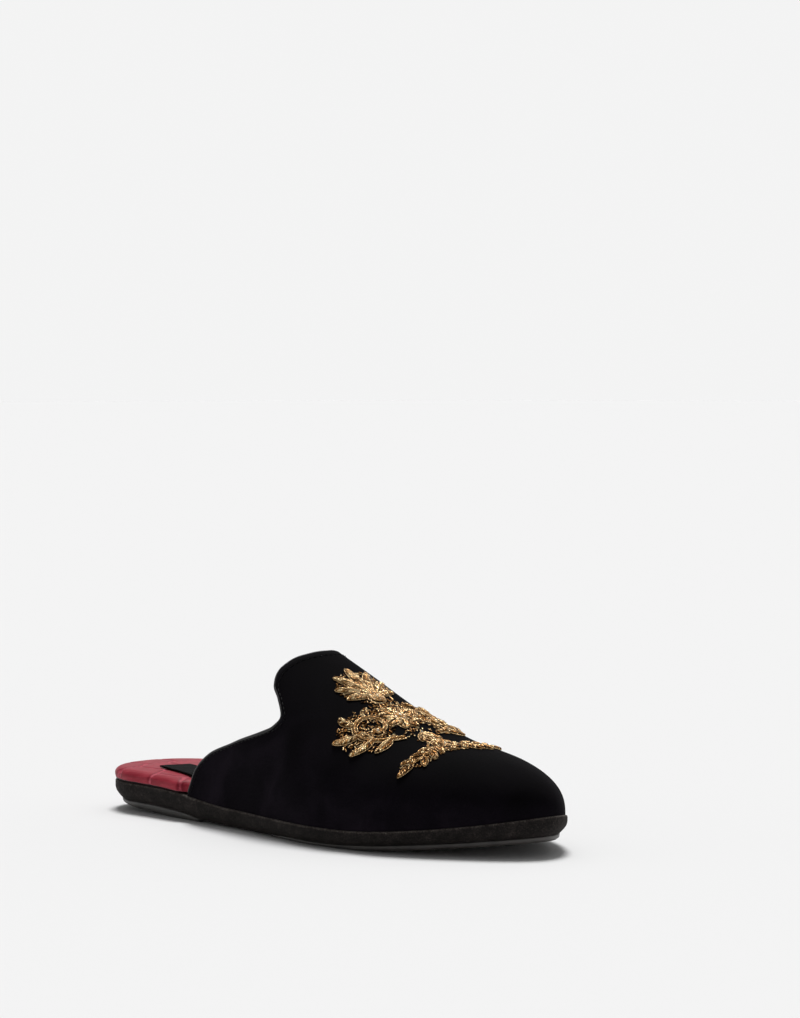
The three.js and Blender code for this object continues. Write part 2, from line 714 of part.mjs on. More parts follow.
function drop() {
  const outlines = [];
  let y = HUSK.top;
  for (const size of HUSK_SIZES) {
    for (const side of [-1, 0, 1]) {
      const turn = 180 + side * HUSK.spread;
      outlines.push(leaf({ x: 0, y, turn, length: HUSK.length * size, width: HUSK.width * size }));
    }
    y -= HUSK.pitch * size;
  }
  return outlines;
}

// Frame of the panel on the vamp: its middle on the ridge and its slope
function panelFrame() {
  const half = GOLDWORK_LENGTH * GOLDWORK_SLOPE_OVER;
  const x = GOLDWORK_SHARE * LENGTH;
  const height = (at) => INSTEP_HEIGHT * ridgeHeightAt(at / LENGTH);
  const slope = Math.atan2(height(x - half) - height(x + half), 2 * half);
  const across = new THREE.Vector3(0, 1, 0);
  const up = new THREE.Vector3(-Math.cos(slope), 0, Math.sin(slope));
  const out = new THREE.Vector3().crossVectors(across, up);
  const y = BALL_WIDTH * ridgeAcrossAt(x / LENGTH) + GOLDWORK_ACROSS;
  return new THREE.Matrix4().makeBasis(across, up, out).setPosition(x, y, height(x));
}

const panel = panelFrame();
const blanket = toManifold(shell(SEAT + GOLDWORK_HEIGHT, SEAT, 0));

// A motif: its outlines joined, then cut from the blanket that lies over the upper
function goldwork(outlines) {
  const depth = GOLDWORK_LENGTH / 2;
  let body = null;
  for (const outline of outlines) {
    const corners = outline.map((p) => new THREE.Vector2(...p).multiplyScalar(GOLDWORK_LENGTH));
    const shape = new THREE.Shape(corners);
    const prism = new THREE.ExtrudeGeometry(shape, { depth, bevelEnabled: false, steps: 1 });
    prism.translate(0, 0, -depth / 2).applyMatrix4(panel);
    const piece = toManifold(prism);
    body = body ? body.add(piece) : piece;
  }
  return toGeometry(body.intersect(blanket));
}

const velvet = new THREE.MeshStandardMaterial({ color: "#0b0b0e", roughness: 0.95, metalness: 0 });
const suede = new THREE.MeshStandardMaterial({ color: "#1e1a18", roughness: 0.9, metalness: 0 });
const rubber = new THREE.MeshStandardMaterial({ color: "#2a2a2b", roughness: 0.6, metalness: 0 });
const leather = new THREE.MeshStandardMaterial({ color: "#a3223a", roughness: 0.45, metalness: 0 });
const tape = new THREE.MeshStandardMaterial({ color: "#141414", roughness: 0.8, metalness: 0 });
const gold = new THREE.MeshStandardMaterial({ color: "#c9963f", roughness: 0.4, metalness: 1 });

const pieces = [
  ["midsole", midsole(), suede],
  ["outsole_heel", heelPad(), rubber],
  ["outsole_forefoot", forePad(), rubber],
  ["upper", shell(0, -WALL, EDGE_ROLL), velvet],
  ["insole", insole(), leather],
  ["insole_label", label(), tape],
  ["goldwork_palmette", goldwork(palmette()), gold],
  ["goldwork_rosette", goldwork(rosette()), gold],
  ["goldwork_scroll_lateral", goldwork(scroll(-1)), gold],
  ["goldwork_scroll_medial", goldwork(scroll(1)), gold],
  ["goldwork_spray_lateral", goldwork(spray(-1)), gold],
  ["goldwork_spray_medial", goldwork(spray(1)), gold],
  ["goldwork_drop", goldwork(drop()), gold],
];

// The shoe stands with the middle of its box over the origin
const shoe = new THREE.Group();
for (const [name, geometry, material] of pieces) {
  const mesh = new THREE.Mesh(geometry, material.clone());
  mesh.name = name;
  shoe.add(mesh);
}
const box = new THREE.Box3().setFromObject(shoe.getObjectByName("midsole"));
shoe.position.set(-(box.min.x + box.max.x) / 2, -(box.min.y + box.max.y) / 2, 0);

const slipper = new THREE.Group();
slipper.add(shoe);
export default slipper;
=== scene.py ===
"""Looks of a backless velvet slipper with goldwork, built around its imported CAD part.

Metres, +Z up, toe towards +X, lateral side towards -Y, floor at z = 0.
Sizes of the last are written in millimetres and turned to metres where a piece is placed.
"""

import math

import bmesh
import bpy
import numpy as np
from bpy.props import FloatProperty, FloatVectorProperty, IntProperty, PointerProperty
from bpy.types import Operator, Panel, PropertyGroup
from mathutils import Matrix, Vector
from mathutils.bvhtree import BVHTree


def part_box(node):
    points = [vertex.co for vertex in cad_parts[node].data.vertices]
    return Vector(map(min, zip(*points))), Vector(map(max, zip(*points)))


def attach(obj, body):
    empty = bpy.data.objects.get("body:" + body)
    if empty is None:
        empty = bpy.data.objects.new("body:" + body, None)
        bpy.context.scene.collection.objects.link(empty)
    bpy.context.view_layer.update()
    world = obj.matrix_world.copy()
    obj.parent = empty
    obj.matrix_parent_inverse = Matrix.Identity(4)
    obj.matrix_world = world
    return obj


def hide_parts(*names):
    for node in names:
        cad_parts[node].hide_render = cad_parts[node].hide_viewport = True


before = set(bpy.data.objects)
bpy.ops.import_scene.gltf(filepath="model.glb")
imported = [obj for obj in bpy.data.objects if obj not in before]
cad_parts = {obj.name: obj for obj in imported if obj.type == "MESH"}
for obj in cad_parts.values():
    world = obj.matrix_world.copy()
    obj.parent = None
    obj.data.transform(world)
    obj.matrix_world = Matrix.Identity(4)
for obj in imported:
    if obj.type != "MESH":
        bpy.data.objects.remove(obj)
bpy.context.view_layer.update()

bl_info = {
    "name": "Velvet slipper with goldwork",
    "version": (1, 0, 0),
    "blender": (4, 5, 0),
    "location": "View3D > Sidebar > Slipper",
    "description": "Builds the pieces of a backless velvet slipper and its stage",
    "category": "Object",
}

MM = 0.001

# The last, as its solids have it (millimetres, x from the back of the heel)
LENGTH = 290.0
BALL_WIDTH = 100.0
INSTEP_HEIGHT = 86.0
HEEL_HEIGHT = 15.0
SOLE_HEIGHT = 9.4
TOE_SPRING = 7.3
HEEL_SPRING = 4.3
HEEL_ROUND = 36.0
TOE_ROUND = 72.0
WALL = 1.8
FEATHER_IN = 1.0
FEATHER_DOWN = 0.4
BAND_TUCK = 3.6
HEEL_PAD = 4.5
FORE_PAD = 2.5
PAD_EDGE = 1.6
PAD_BOW = 7.0
ARCH_LIFT = 2.5
INSOLE_PAD = 6.3
INSOLE_IN = 0.6
INSOLE_ROUND = 5.5
INSOLE_TUCK = 2.6
INSOLE_BULGE = 0.8
INSOLE_WIDEST = 0.52
INSOLE_CROWN = 0.5
INSOLE_SLACK = 0.3
INSOLE_SHADE_RISE = 0.6
INSOLE_SIDE = 0.2
SEAT = 0.3
SPRING_FROM = 0.7
HEEL_SPRING_TO = 0.214
FAN_FROM = 0.72
FAN_POLE = 0.875
LEAN_TO = 0.55
HEEL_PAD_END = 0.293
FORE_PAD_START = 0.515
HEEL_POWER = 2.2
TOE_POWER = 1.975
SPRING_POWER = 1.5
HEEL_SPRING_POWER = 1.2
LEVEL_EASE = 1.25
FEATHER_LEVEL = 0.04
ROW_ORIGIN = np.array([145.0, 0.5808, 0.0])

# Ways round the heel and the toe, and all the way from heel to toe
HEEL_ARC = HEEL_ROUND * math.pi / 2
TOE_ARC = TOE_ROUND * math.pi / 2
WHOLE_WAY = HEEL_ARC + (LENGTH - HEEL_ROUND - TOE_ROUND) + TOE_ARC

# Mesh steps, and what is near enough to be one vertex (metres)
UPPER_STEPS = 110
BAND_STEPS = 200
BAND_ROWS = 17
BAND_GATHER = 1.35
PAD_STEPS = 90
INSOLE_STEPS = (300, 140)
NEAR = 1e-6

# Side of a rubber pad: heights of its rows, how far down it leans and by how much, and how it curls under
PAD_DROPS = (0.0, 0.25, 0.5, 0.62, 0.72, 0.82, 0.92, 1.0)
PAD_TURN = 0.55
PAD_LEAN = 0.12
PAD_CURL = 1.7

# Pressed plates of the insole, in shares of a plate: jitter, half width of a groove, fade of its tone
PLATE_SEED = 7
PLATE_JITTER = 0.16
GROOVE_HALF = 0.1
GROOVE_TONE = (0.03, 0.18)

# Tones that the meshes carry for their colours: painted shade on the velvet's up-facing tops and on the insole's
# tucked rim;
# the band's top edge gets a painted highlight over these millimetres down
TOP_SHADE_TONE = {"side": 1.05, "fall": 0.85, "power": 1.4}
PLATE_TONE = {"groove": 0.2, "rise": 0.55, "tucked_shade": -0.6}
EDGE_HIGHLIGHT_DEPTH = (0.3, 1.3)
PLAIN = 0.5

# Turned edge of the collar and its row of stitches
COLLAR_ROLL = 0.25
COLLAR_SWELL = 0.08
STITCH_IN = 2.2
STITCH_PITCH = 3.1
STITCH_LENGTH = 2.3
STITCH_RADIUS = 0.2
STITCH_LIFT = 0.05
STITCH_ARCH = 0.13
STITCH_TAPER = np.array([0.6, 0.9, 1, 1, 0.9, 0.6])
INSIDE_VAMP = np.array([200.0, 0.0, 30.0])
VELVET, LINING, THREAD = 0, 1, 2

# Woven label, turned by degrees on the insole
LABEL = {"length": 42.0, "width": 17.0, "thick": 0.7, "turn": -13, "ripple": 0.08}

# Stage: places and directions in metres, angles in degrees, lens in millimetres
CAMERA = {"at": (1.18348, -1.06971, 0.21279), "azimuth": 46.67, "pitch": 2.08, "lens": 116.7, "sensor": 36}
PAPER = (0.8, 0.8, 0.8, 1)
LAMP_AT = (-0.7, 0.72, 2.1)
BOX_TOWARDS = Vector((-0.45, 0.5, 1.0)).normalized()
BOX_SPAN = (0.8, 0.9)
FRONT_TOWARDS = Vector((0.727, -0.686, 0.0))
FRONT_SPAN = (0.0, 0.5)
CEILING_SPAN = (0.13, 0.3)

# Embroidered panel
GOLDWORK_LENGTH = 92.0
GOLDWORK_ACROSS = -4.0
GOLDWORK_SHARE = 0.638
GOLDWORK_SLOPE_OVER = 0.38

OUTLINE = {
    "share": [0, 0.12, 0.25, 0.4, 0.52, 0.64, 0.74, 0.82, 0.9, 1],
    "lateral": [0.334, 0.334, 0.353, 0.387, 0.451, 0.504, 0.494, 0.454, 0.405, 0.334],
    "medial": [0.334, 0.348, 0.327, 0.302, 0.337, 0.429, 0.501, 0.496, 0.45, 0.368],
    "axis": [0, 0, 0, 0, 0, 0, 0.01, 0.031, 0.051, 0.061],
}
PLATFORM = {
    "share": [0, 0.2, 0.4, 0.6, 0.78, 0.85, 0.92, 1],
    "heel": [1, 0.85, 0.07, 0, -0.04, 0.01, 0.13, 0.4],
}
UNDERSIDE = {
    "share": [
        0, 0.05, 0.09, 0.12, 0.18, 0.215, 0.255, HEEL_PAD_END, 0.4, FORE_PAD_START, 0.56, 0.66, 0.74, 0.85, 1,
    ],
    "heel": [0.48, 0.49, 0.59, 0.77, 0.92, 0.9, 0.69, 0.36, 0.05, 0, 0, 0, 0, 0, 0],
    "fore": [0, 0, 0, 0, 0, 0, 0, 0, 0.08, 0.34, 0.55, 0.62, 0.86, 0.95, 1],
    "arch": [0, 0, 0, 0, 0, 0, 0, 0, 1, 0, 0, 0, 0, 0, 0],
}
BAND = {
    "drop": [0, 0.03, 0.08, 0.15, 0.26, 0.42, 0.58, 0.72, 0.86, 1],
    "tuck": [0.26, 0.11, 0.02, 0, 0, 0.02, 0.13, 0.34, 0.64, 1],
}
RIDGE = {
    "share": [0.3, 0.4, 0.48, 0.56, 0.66, 0.76, 0.86, 0.94, 1],
    "height": [1.219, 1.141, 1.029, 0.897, 0.713, 0.571, 0.505, 0.466, 0.449],
    "across": [0, -0.001, -0.002, -0.001, 0.002, 0.018, 0.05, 0.056, 0.06],
}
SECTION = {
    "share": [0.2, 0.36, 0.48, 0.6, 0.7, 0.8, 1],
    "full": [1.966, 2.01, 2.07, 2.256, 2.38, 2.46, 2.457],
    "lean": [0.349, 0.349, 0.256, 0.07, 0, 0, 0],
}
COLLAR = {
    "level": [0, 0.038, 0.093, 0.158, 0.231, 0.308, 0.36, 0.43, 0.506, 0.551, 0.604, 0.729, 0.887, 1],
    "share": [0.273, 0.288, 0.311, 0.357, 0.437, 0.506, 0.535, 0.5495, 0.536, 0.523, 0.5205, 0.529, 0.541, 0.544],
}
INSOLE = {
    "share": [0, 0.246, 0.264, 0.5, 0.7, 1],
    "thick": [1, 1, 0.99, 0.78, 0.6, 0.5],
    "inside": [0, 0, 1, 1, 1, 1],
}

# Soft troughs and ridges in the velvet: middle x and z, reach along and up, turn in degrees, depth and side
CREASES = [
    (178, 34, 7, 26, 24, 0.55, -1),
    (193, 33, 8, 24, 18, -0.4, -1),
    (208, 31, 7, 22, 14, 0.45, -1),
    (148, 40, 9, 22, 40, 0.5, -1),
    (120, 24, 20, 7, 12, 0.5, -1),
    (236, 26, 12, 14, 10, -0.35, -1),
    (182, 34, 7, 24, 20, 0.5, 1),
    (200, 32, 7, 22, 14, 0.5, 1),
    (150, 40, 9, 20, 36, 0.5, 1),
    (120, 24, 18, 7, 12, 0.45, 1),
]
# They fade in over these distances from the middle of the shoe and these heights
CREASE_ASIDE = (2, 16)
CREASE_ABOVE = (18, 26)


def smooth(table, column):
    """Smooth curve of a column over the table's first one; it never overshoots."""
    x = np.array(next(iter(table.values())), float)
    y = np.array(table[column], float)
    step = np.diff(x)
    rise = np.diff(y) / step
    slope = np.zeros(len(x))
    for i in range(1, len(x) - 1):
        if rise[i - 1] * rise[i] > 0:
            before = 2 * step[i] + step[i - 1]
            after = step[i] + 2 * step[i - 1]
            slope[i] = (before + after) / (before / rise[i - 1] + after / rise[i])
    slope[0] = end_slope(step[0], step[1], rise[0], rise[1])
    slope[-1] = end_slope(step[-1], step[-2], rise[-1], rise[-2])

    def at(value):
        v = np.clip(np.asarray(value, float), x[0], x[-1])
        i = np.clip(np.searchsorted(x, v, side="left") - 1, 0, len(step) - 1)
        h = step[i]
        t = (v - x[i]) / h
        ends = y[i] * (1 + 2 * t) * (1 - t) ** 2 + y[i + 1] * t**2 * (3 - 2 * t)
        return ends + h * (slope[i] * t * (1 - t) ** 2 - slope[i + 1] * t**2 * (1 - t))

    return at


def end_slope(near, following, rise, next_rise):
    slope = ((2 * near + following) * rise - near * next_rise) / (near + following)
    if slope * rise <= 0:
        return 0.0
    if rise * next_rise <= 0 and abs(slope) > 3 * abs(rise):
        return 3 * rise
    return slope


lateral_at = smooth(OUTLINE, "lateral")
medial_at = smooth(OUTLINE, "medial")
axis_at = smooth(OUTLINE, "axis")
platform_at = smooth(PLATFORM, "heel")
under_heel_at = smooth(UNDERSIDE, "heel")
under_fore_at = smooth(UNDERSIDE, "fore")
arch_at = smooth(UNDERSIDE, "arch")
band_tuck_at = smooth(BAND, "tuck")
ridge_height_at = smooth(RIDGE, "height")
ridge_across_at = smooth(RIDGE, "across")
full_at = smooth(SECTION, "full")
lean_at = smooth(SECTION, "lean")
collar_at = smooth(COLLAR, "share")
thick_at = smooth(INSOLE, "thick")
inside_at = smooth(INSOLE, "inside")


def smoothstep(value, low, high):
    t = np.clip((value - low) / (high - low), 0, 1)
    return t * t * (3 - 2 * t)


def round_ends(x):
    heel = np.clip(1 - x / HEEL_ROUND, 0, 1)
    toe = np.clip((x - LENGTH + TOE_ROUND) / TOE_ROUND, 0, 1)
    return (1 - heel**HEEL_POWER) ** (1 / HEEL_POWER) * np.sqrt(1 - toe**TOE_POWER)


def edge_y(x, hand):
    half = np.where(hand < 0, lateral_at(x / LENGTH), medial_at(x / LENGTH))
    return BALL_WIDTH * (axis_at(x / LENGTH) + hand * half * round_ends(x))


def edge(x, hand, inset):
    """A point of the sole's outline, moved in towards the middle of the shoe by inset."""
    x0 = np.maximum(x - 0.02, 0)
    x1 = np.minimum(x + 0.02, LENGTH)
    ax = x1 - x0
    ay = edge_y(x1, hand) - edge_y(x0, hand)
    size = np.hypot(ax, ay)
    ax, ay = ax / size, ay / size
    px = x + hand * ay * inset
    py = edge_y(x, hand) - hand * ax * inset
    heel = x <= 1e-6
    toe = x >= LENGTH - 1e-6
    px = np.where(heel, inset, np.where(toe, LENGTH - inset, px))
    py = np.where(heel | toe, edge_y(x, hand), py)
    return px, py


def toe_spring(x):
    return TOE_SPRING * np.clip((x / LENGTH - SPRING_FROM) / (1 - SPRING_FROM), 0, 1) ** SPRING_POWER


def tread_z(x):
    return toe_spring(x) + HEEL_SPRING * np.clip(1 - x / LENGTH / HEEL_SPRING_TO, 0, 1) ** HEEL_SPRING_POWER


def pad_top_z(x):
    return tread_z(x) + HEEL_PAD * under_heel_at(x / LENGTH) + FORE_PAD * under_fore_at(x / LENGTH)


def platform_z(x):
    return toe_spring(x) + SOLE_HEIGHT + (HEEL_HEIGHT - SOLE_HEIGHT) * platform_at(x / LENGTH)


def insole_z(x):
    return platform_z(x) + SEAT + INSOLE_PAD * thick_at(x / LENGTH)


def spine_x(x):
    share = x / LENGTH
    reach = (FAN_POLE - FAN_FROM) / (1 - FAN_FROM)
    fan = np.clip((share - FAN_FROM) / (1 - FAN_FROM), 0, 1)
    gathered = FAN_FROM + (FAN_POLE - FAN_FROM) * (1 - (1 - fan) ** (1 / reach))
    base = np.where(share < FAN_FROM, share, gathered)
    return base * LENGTH - INSTEP_HEIGHT * lean_at(share)


def upper_point(x, level, hand):
    """Outer face of the upper: level 0 is the feather line and level 1 the ridge."""
    share = x / LENGTH
    turn = level * math.pi / 2
    power = 2 / full_at(share)
    out = np.maximum(np.cos(turn), 0) ** power
    up = np.sin(turn) ** power
    fx, fy = edge(x, hand, FEATHER_IN)
    spine = spine_x(x)
    blend = smoothstep(share, LEAN_TO, FAN_FROM)
    along = up * (1 - blend) + (1 - out) * blend
    px = fx + (spine - fx) * along
    ridge_y = BALL_WIDTH * ridge_across_at(spine / LENGTH)
    low = platform_z(px) + SEAT
    high = INSTEP_HEIGHT * ridge_height_at(px / LENGTH)
    return np.stack([px, ridge_y + (fy - ridge_y) * out, low + (high - low) * up], -1)


def station(way):
    """Place along the sole after a way round the heel, along the middle and round the toe."""
    heel = HEEL_ROUND * (1 - np.cos(np.clip(way / HEEL_ARC, 0, 1) * math.pi / 2))
    toe_turn = np.clip((way - WHOLE_WAY + TOE_ARC) / TOE_ARC, 0, 1) * math.pi / 2
    toe = LENGTH - TOE_ROUND + TOE_ROUND * np.sin(toe_turn)
    middle = HEEL_ROUND + way - HEEL_ARC
    return np.where(way <= HEEL_ARC, heel, np.where(way < WHOLE_WAY - TOE_ARC, middle, toe))


def heel_to_toe(u):
    return station(u * WHOLE_WAY)


def on_to_toe(start, u):
    """Stations from a place in the middle to the tip of the toe."""
    first = HEEL_ARC + start - HEEL_ROUND
    return station(first + u * (WHOLE_WAY - first))


def to_row(points):
    """Millimetres on the last to metres in the row frame."""
    return (points - ROW_ORIGIN) * MM


def on_last(bm):
    """The vertices' places in millimetres on the last."""
    return np.array([v.co for v in bm.verts]) / MM + ROW_ORIGIN


def grid(bm, nu, nv, place, look=0, tone=PLAIN, span=(1.0, 1.0)):
    """Pours a bmesh grid into bm with its corners moved by place(u, v); its UVs run over span."""
    piece = bmesh.new()
    uv = piece.loops.layers.uv.new("UVMap")
    bmesh.ops.create_grid(piece, x_segments=nu, y_segments=nv, size=0.5, calc_uvs=False)
    flat = np.array([v.co[:2] for v in piece.verts]) + 0.5
    spots = place(flat[:, 0], flat[:, 1])
    shade = piece.verts.layers.float.new("tone")
    for vert, (u, v), spot in zip(piece.verts, flat, spots):
        for loop in vert.link_loops:
            loop[uv].uv = (u * span[0], v * span[1])
        vert.co = spot
        vert[shade] = tone
    for face in piece.faces:
        face.material_index = look
    mesh = bpy.data.meshes.new("pour")
    piece.to_mesh(mesh)
    piece.free()
    bm.from_mesh(mesh)
    bpy.data.meshes.remove(mesh)
    return bm


def close(bm):
    bmesh.ops.remove_doubles(bm, verts=bm.verts, dist=NEAR)
    bmesh.ops.dissolve_degenerate(bm, edges=bm.edges, dist=NEAR / 10)
    bmesh.ops.recalc_face_normals(bm, faces=bm.faces)


def cap(bm):
    """Closes a ring's open ends."""
    bmesh.ops.remove_doubles(bm, verts=bm.verts, dist=NEAR)
    bmesh.ops.holes_fill(bm, edges=[e for e in bm.edges if e.is_boundary])
    close(bm)


def face_up(bm):
    """Turns the faces of an open sheet upwards."""
    if sum(f.normal.z for f in bm.faces) < 0:
        bmesh.ops.reverse_faces(bm, faces=bm.faces)
    bm.normal_update()


def shade_by(bm, tones):
    """Sets the vertices' tones."""
    layer = bm.verts.layers.float.get("tone")
    for vert, tone in zip(bm.verts, tones):
        vert[layer] = tone


def finish(bm, name, nodes, materials):
    """Turns a bmesh into the piece that stands for CAD nodes."""
    mesh = bpy.data.meshes.new(name)
    bm.to_mesh(mesh)
    bm.free()
    for face in mesh.polygons:
        face.use_smooth = True
    piece = bpy.data.objects.new(name, mesh)
    bpy.context.scene.collection.objects.link(piece)
    for material in materials:
        mesh.materials.append(material)
    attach(piece, "root")
    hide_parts(*nodes)
    return piece


def linear(code):
    """An sRGB hex colour as the linear one that shaders take."""
    parts = [int(code.lstrip("#")[i : i + 2], 16) / 255 for i in (0, 2, 4)]
    return [c / 12.92 if c <= 0.04045 else ((c + 0.055) / 1.055) ** 2.4 for c in parts] + [1.0]


def feed(tree, made, inputs):
    """Sets a node's inputs, each to a value or to the socket that feeds it."""
    for key, value in inputs.items():
        if isinstance(value, bpy.types.NodeSocket):
            tree.links.new(value, made.inputs[key])
        else:
            made.inputs[key].default_value = value


def node(tree, kind, inputs=None, **settings):
    """Adds a node with its settings and inputs."""
    made = tree.nodes.new(kind)
    for key, value in settings.items():
        setattr(made, key, value)
    feed(tree, made, inputs or {})
    return made


def shared(name, look, *values):
    """A material by name, made once; its look gives the inputs of the Principled shader."""
    made = bpy.data.materials.get(name)
    if not made:
        made = bpy.data.materials.new(name)
        made.use_nodes = True
        tree = made.node_tree
        at = node(tree, "ShaderNodeTexCoord").outputs["Object"]
        feed(tree, tree.nodes["Principled BSDF"], look(tree, at, *values))
    return made


def ramp(tree, factor, stops):
    """A colour ramp from (place, hex) stops."""
    made = node(tree, "ShaderNodeValToRGB", {"Fac": factor})
    elements = made.color_ramp.elements
    while len(elements) < len(stops):
        elements.new(0.5)
    for element, (place, code) in zip(elements, stops):
        element.position = place
        element.color = linear(code)
    return made.outputs["Color"]


def per_mm(size):
    """Scale of a pattern on Object coordinates whose cells are size millimetres wide."""
    return 1 / (size * MM)


def noise(tree, at, size, detail=2.0, **inputs):
    """Noise whose cells are size millimetres wide."""
    inputs = {"Vector": at, "Scale": per_mm(size), "Detail": detail, **inputs}
    return node(tree, "ShaderNodeTexNoise", inputs).outputs["Fac"]


def wave(tree, at, scale, direction, distortion=0.0):
    inputs = {"Vector": at, "Scale": scale, "Distortion": distortion}
    return node(tree, "ShaderNodeTexWave", inputs, bands_direction=direction).outputs["Fac"]


def stretched(tree, at, scale):
    return node(tree, "ShaderNodeMapping", {"Vector": at, "Scale": scale}).outputs["Vector"]


def tone_of(tree):
    """The tone that the mesh carries."""
    return node(tree, "ShaderNodeAttribute", attribute_name="tone").outputs["Fac"]


def uv_of(tree):
    return node(tree, "ShaderNodeUVMap", uv_map="UVMap").outputs["UV"]


def total(tree, first, second):
    return node(tree, "ShaderNodeMath", {0: first, 1: second}, operation="ADD").outputs[0]


def product(tree, first, second):
    return node(tree, "ShaderNodeMath", {0: first, 1: second}, operation="MULTIPLY").outputs[0]


def between(tree, value, low, high, span=(0.0, 1.0), **settings):
    """A value over span as one from low to high."""
    inputs = {"Value": value, "From Min": span[0], "From Max": span[1], "To Min": low, "To Max": high}
    return node(tree, "ShaderNodeMapRange", inputs, **settings).outputs["Result"]


def relief(tree, height, strength, depth):
    """Normals of a relief that is depth millimetres deep."""
    inputs = {"Height": height, "Strength": strength, "Distance": depth * MM}
    return node(tree, "ShaderNodeBump", inputs).outputs["Normal"]


def velvet_look(tree, at):
    # Silk velvet: dense cut pile that swallows light face on and lights up at grazing angles; its colour is
    # multiplied by the tone, a painted shade that darkens the surfaces facing up
    pile = noise(tree, at, 0.55)
    brushed = noise(tree, at, 26, 3.0, Distortion=0.8)
    nap = total(tree, product(tree, pile, 0.25), product(tree, brushed, 0.85))
    stops = [(0.05, "#020202"), (0.3, "#0b090c"), (0.55, "#110e13"), (0.8, "#1d181f")]
    return {
        "Base Color": ramp(tree, product(tree, nap, tone_of(tree)), stops),
        "Roughness": 0.92,
        "Specular IOR Level": 0.03,
        "Sheen Weight": 0.022,
        "Sheen Roughness": 0.34,
        "Sheen Tint": linear("#b3a8b6"),
        "Normal": relief(tree, pile, 0.35, 0.25),
    }


def lining_look(tree, at):
    # Black kid lining: smooth, with a fine even grain
    grain = node(tree, "ShaderNodeTexVoronoi", {"Vector": at, "Scale": per_mm(0.8)}).outputs["Distance"]
    return {
        "Base Color": ramp(tree, noise(tree, at, 18), [(0.3, "#0c0b0c"), (0.7, "#171516")]),
        "Roughness": 0.55,
        "Normal": relief(tree, grain, 0.3, 0.15),
    }


def suede_look(tree, at):
    # Suede: buffed split leather, matt brown-black with a short uneven nap, paler along its top edge: a painted
    # highlight
    nap = noise(tree, at, 0.7, 3.0)
    scuff = noise(tree, at, 7, 5.0, Roughness=0.7)
    half = product(tree, total(tree, nap, scuff), 0.5)
    painted_highlight = product(tree, tone_of(tree), 0.2)
    stops = [(0.36, "#131211"), (0.5, "#201d1c"), (0.62, "#332e2c"), (0.8, "#5f5a55")]
    return {
        "Base Color": ramp(tree, total(tree, half, painted_highlight), stops),
        "Roughness": 0.88,
        "Specular IOR Level": 0.12,
        "Sheen Weight": 0.06,
        "Sheen Roughness": 0.45,
        "Sheen Tint": linear("#b8aea6"),
        "Normal": relief(tree, nap, 0.45, 0.3),
    }


def rubber_look(tree, at):
    # Moulded rubber: dark grey, slightly shiny, with a fine moulded grain
    bloom = noise(tree, at, 9, 4.0)
    return {
        "Base Color": ramp(tree, bloom, [(0.3, "#3e3c3b"), (0.7, "#54514e")]),
        "Roughness": between(tree, bloom, 0.38, 0.56),
        "Normal": relief(tree, noise(tree, at, 0.6), 0.25, 0.2),
    }


def croc_look(tree, at):
    # Embossed calf: glazed crimson plates with fine wrinkles, rosier in the pressed grooves, and near black where
    # it
    # tucks under the band: painted shade
    cloud = noise(tree, at, 11, 4.0)
    streak = noise(tree, stretched(tree, at, (0.14, 1.0, 1.0)), 1.3, 3.0, Distortion=0.5)
    shift = between(tree, total(tree, cloud, streak), -0.22, 0.22, (0.6, 1.4))
    stops = [
        (0.0, "#1c0508"), (0.07, "#c55a69"), (0.28, "#b04251"),
        (0.44, "#812230"), (0.72, "#962937"), (1.0, "#ae3d4b"),
    ]
    return {
        "Base Color": ramp(tree, total(tree, tone_of(tree), shift), stops),
        "Roughness": between(tree, cloud, 0.36, 0.55),
        "Specular IOR Level": 0.08,
        "Coat Weight": 0.02,
        "Coat Roughness": 0.3,
        "Normal": relief(tree, streak, 0.7, 0.4),
    }


def tape_look(tree, at):
    # Woven satin tape: black, with fine lengthwise ribs that catch a little light
    flat = stretched(tree, uv_of(tree), (LABEL["length"], LABEL["width"], 1.0))
    weave = product(tree, wave(tree, flat, 0.5, "X", 0.2), wave(tree, flat, 0.7, "Y", 0.2))
    return {
        "Base Color": ramp(tree, weave, [(0.0, "#080808"), (1.0, "#161617")]),
        "Roughness": 0.8,
        "Specular IOR Level": 0.04,
        "Normal": relief(tree, weave, 0.5, 0.1),
    }


def thread_look(tree, at):
    # Black sewing thread: waxed, with a soft shine on its twist
    twist = wave(tree, at, per_mm(3.2), "DIAGONAL")
    return {
        "Base Color": ramp(tree, twist, [(0.0, "#080808"), (1.0, "#131315")]),
        "Roughness": 0.7,
        "Specular IOR Level": 0.15,
    }


def gilt_look(tree, at, dark, mid, light, rough):
    # Gilt bullion: coiled silver-gilt wire, bright along each coil and brown in between
    coil = wave(tree, uv_of(tree), 0.5, "X")
    shift = between(tree, noise(tree, at, 2.2), -0.5, 0.45)
    return {
        "Base Color": ramp(tree, total(tree, tone_of(tree), shift), [(0.05, dark), (0.45, mid), (1.0, light)]),
        "Metallic": 1.0,
        "Roughness": rough,
        "Normal": relief(tree, coil, 0.9, 0.2),
    }


def bead_look(tree, at):
    # Silver-lined glass beads: pale, bright points among the gold
    return {
        "Base Color": ramp(tree, noise(tree, at, 1.5), [(0.3, "#c2b292"), (0.7, "#fbf3e2")]),
        "Metallic": 0.85,
        "Roughness": 0.18,
    }


def floor_look(tree, at, colour):
    # Matt studio paper: pale, with the faintest fibre mottle
    low = [c * 0.995 for c in colour[:3]] + [1.0]
    inputs = {"Factor": noise(tree, at, 3), "A": low, "B": list(colour)}
    mix = node(tree, "ShaderNodeMix", inputs, data_type="RGBA")
    return {"Base Color": mix.outputs["Result"], "Roughness": 0.9, "Specular IOR Level": 0.0}


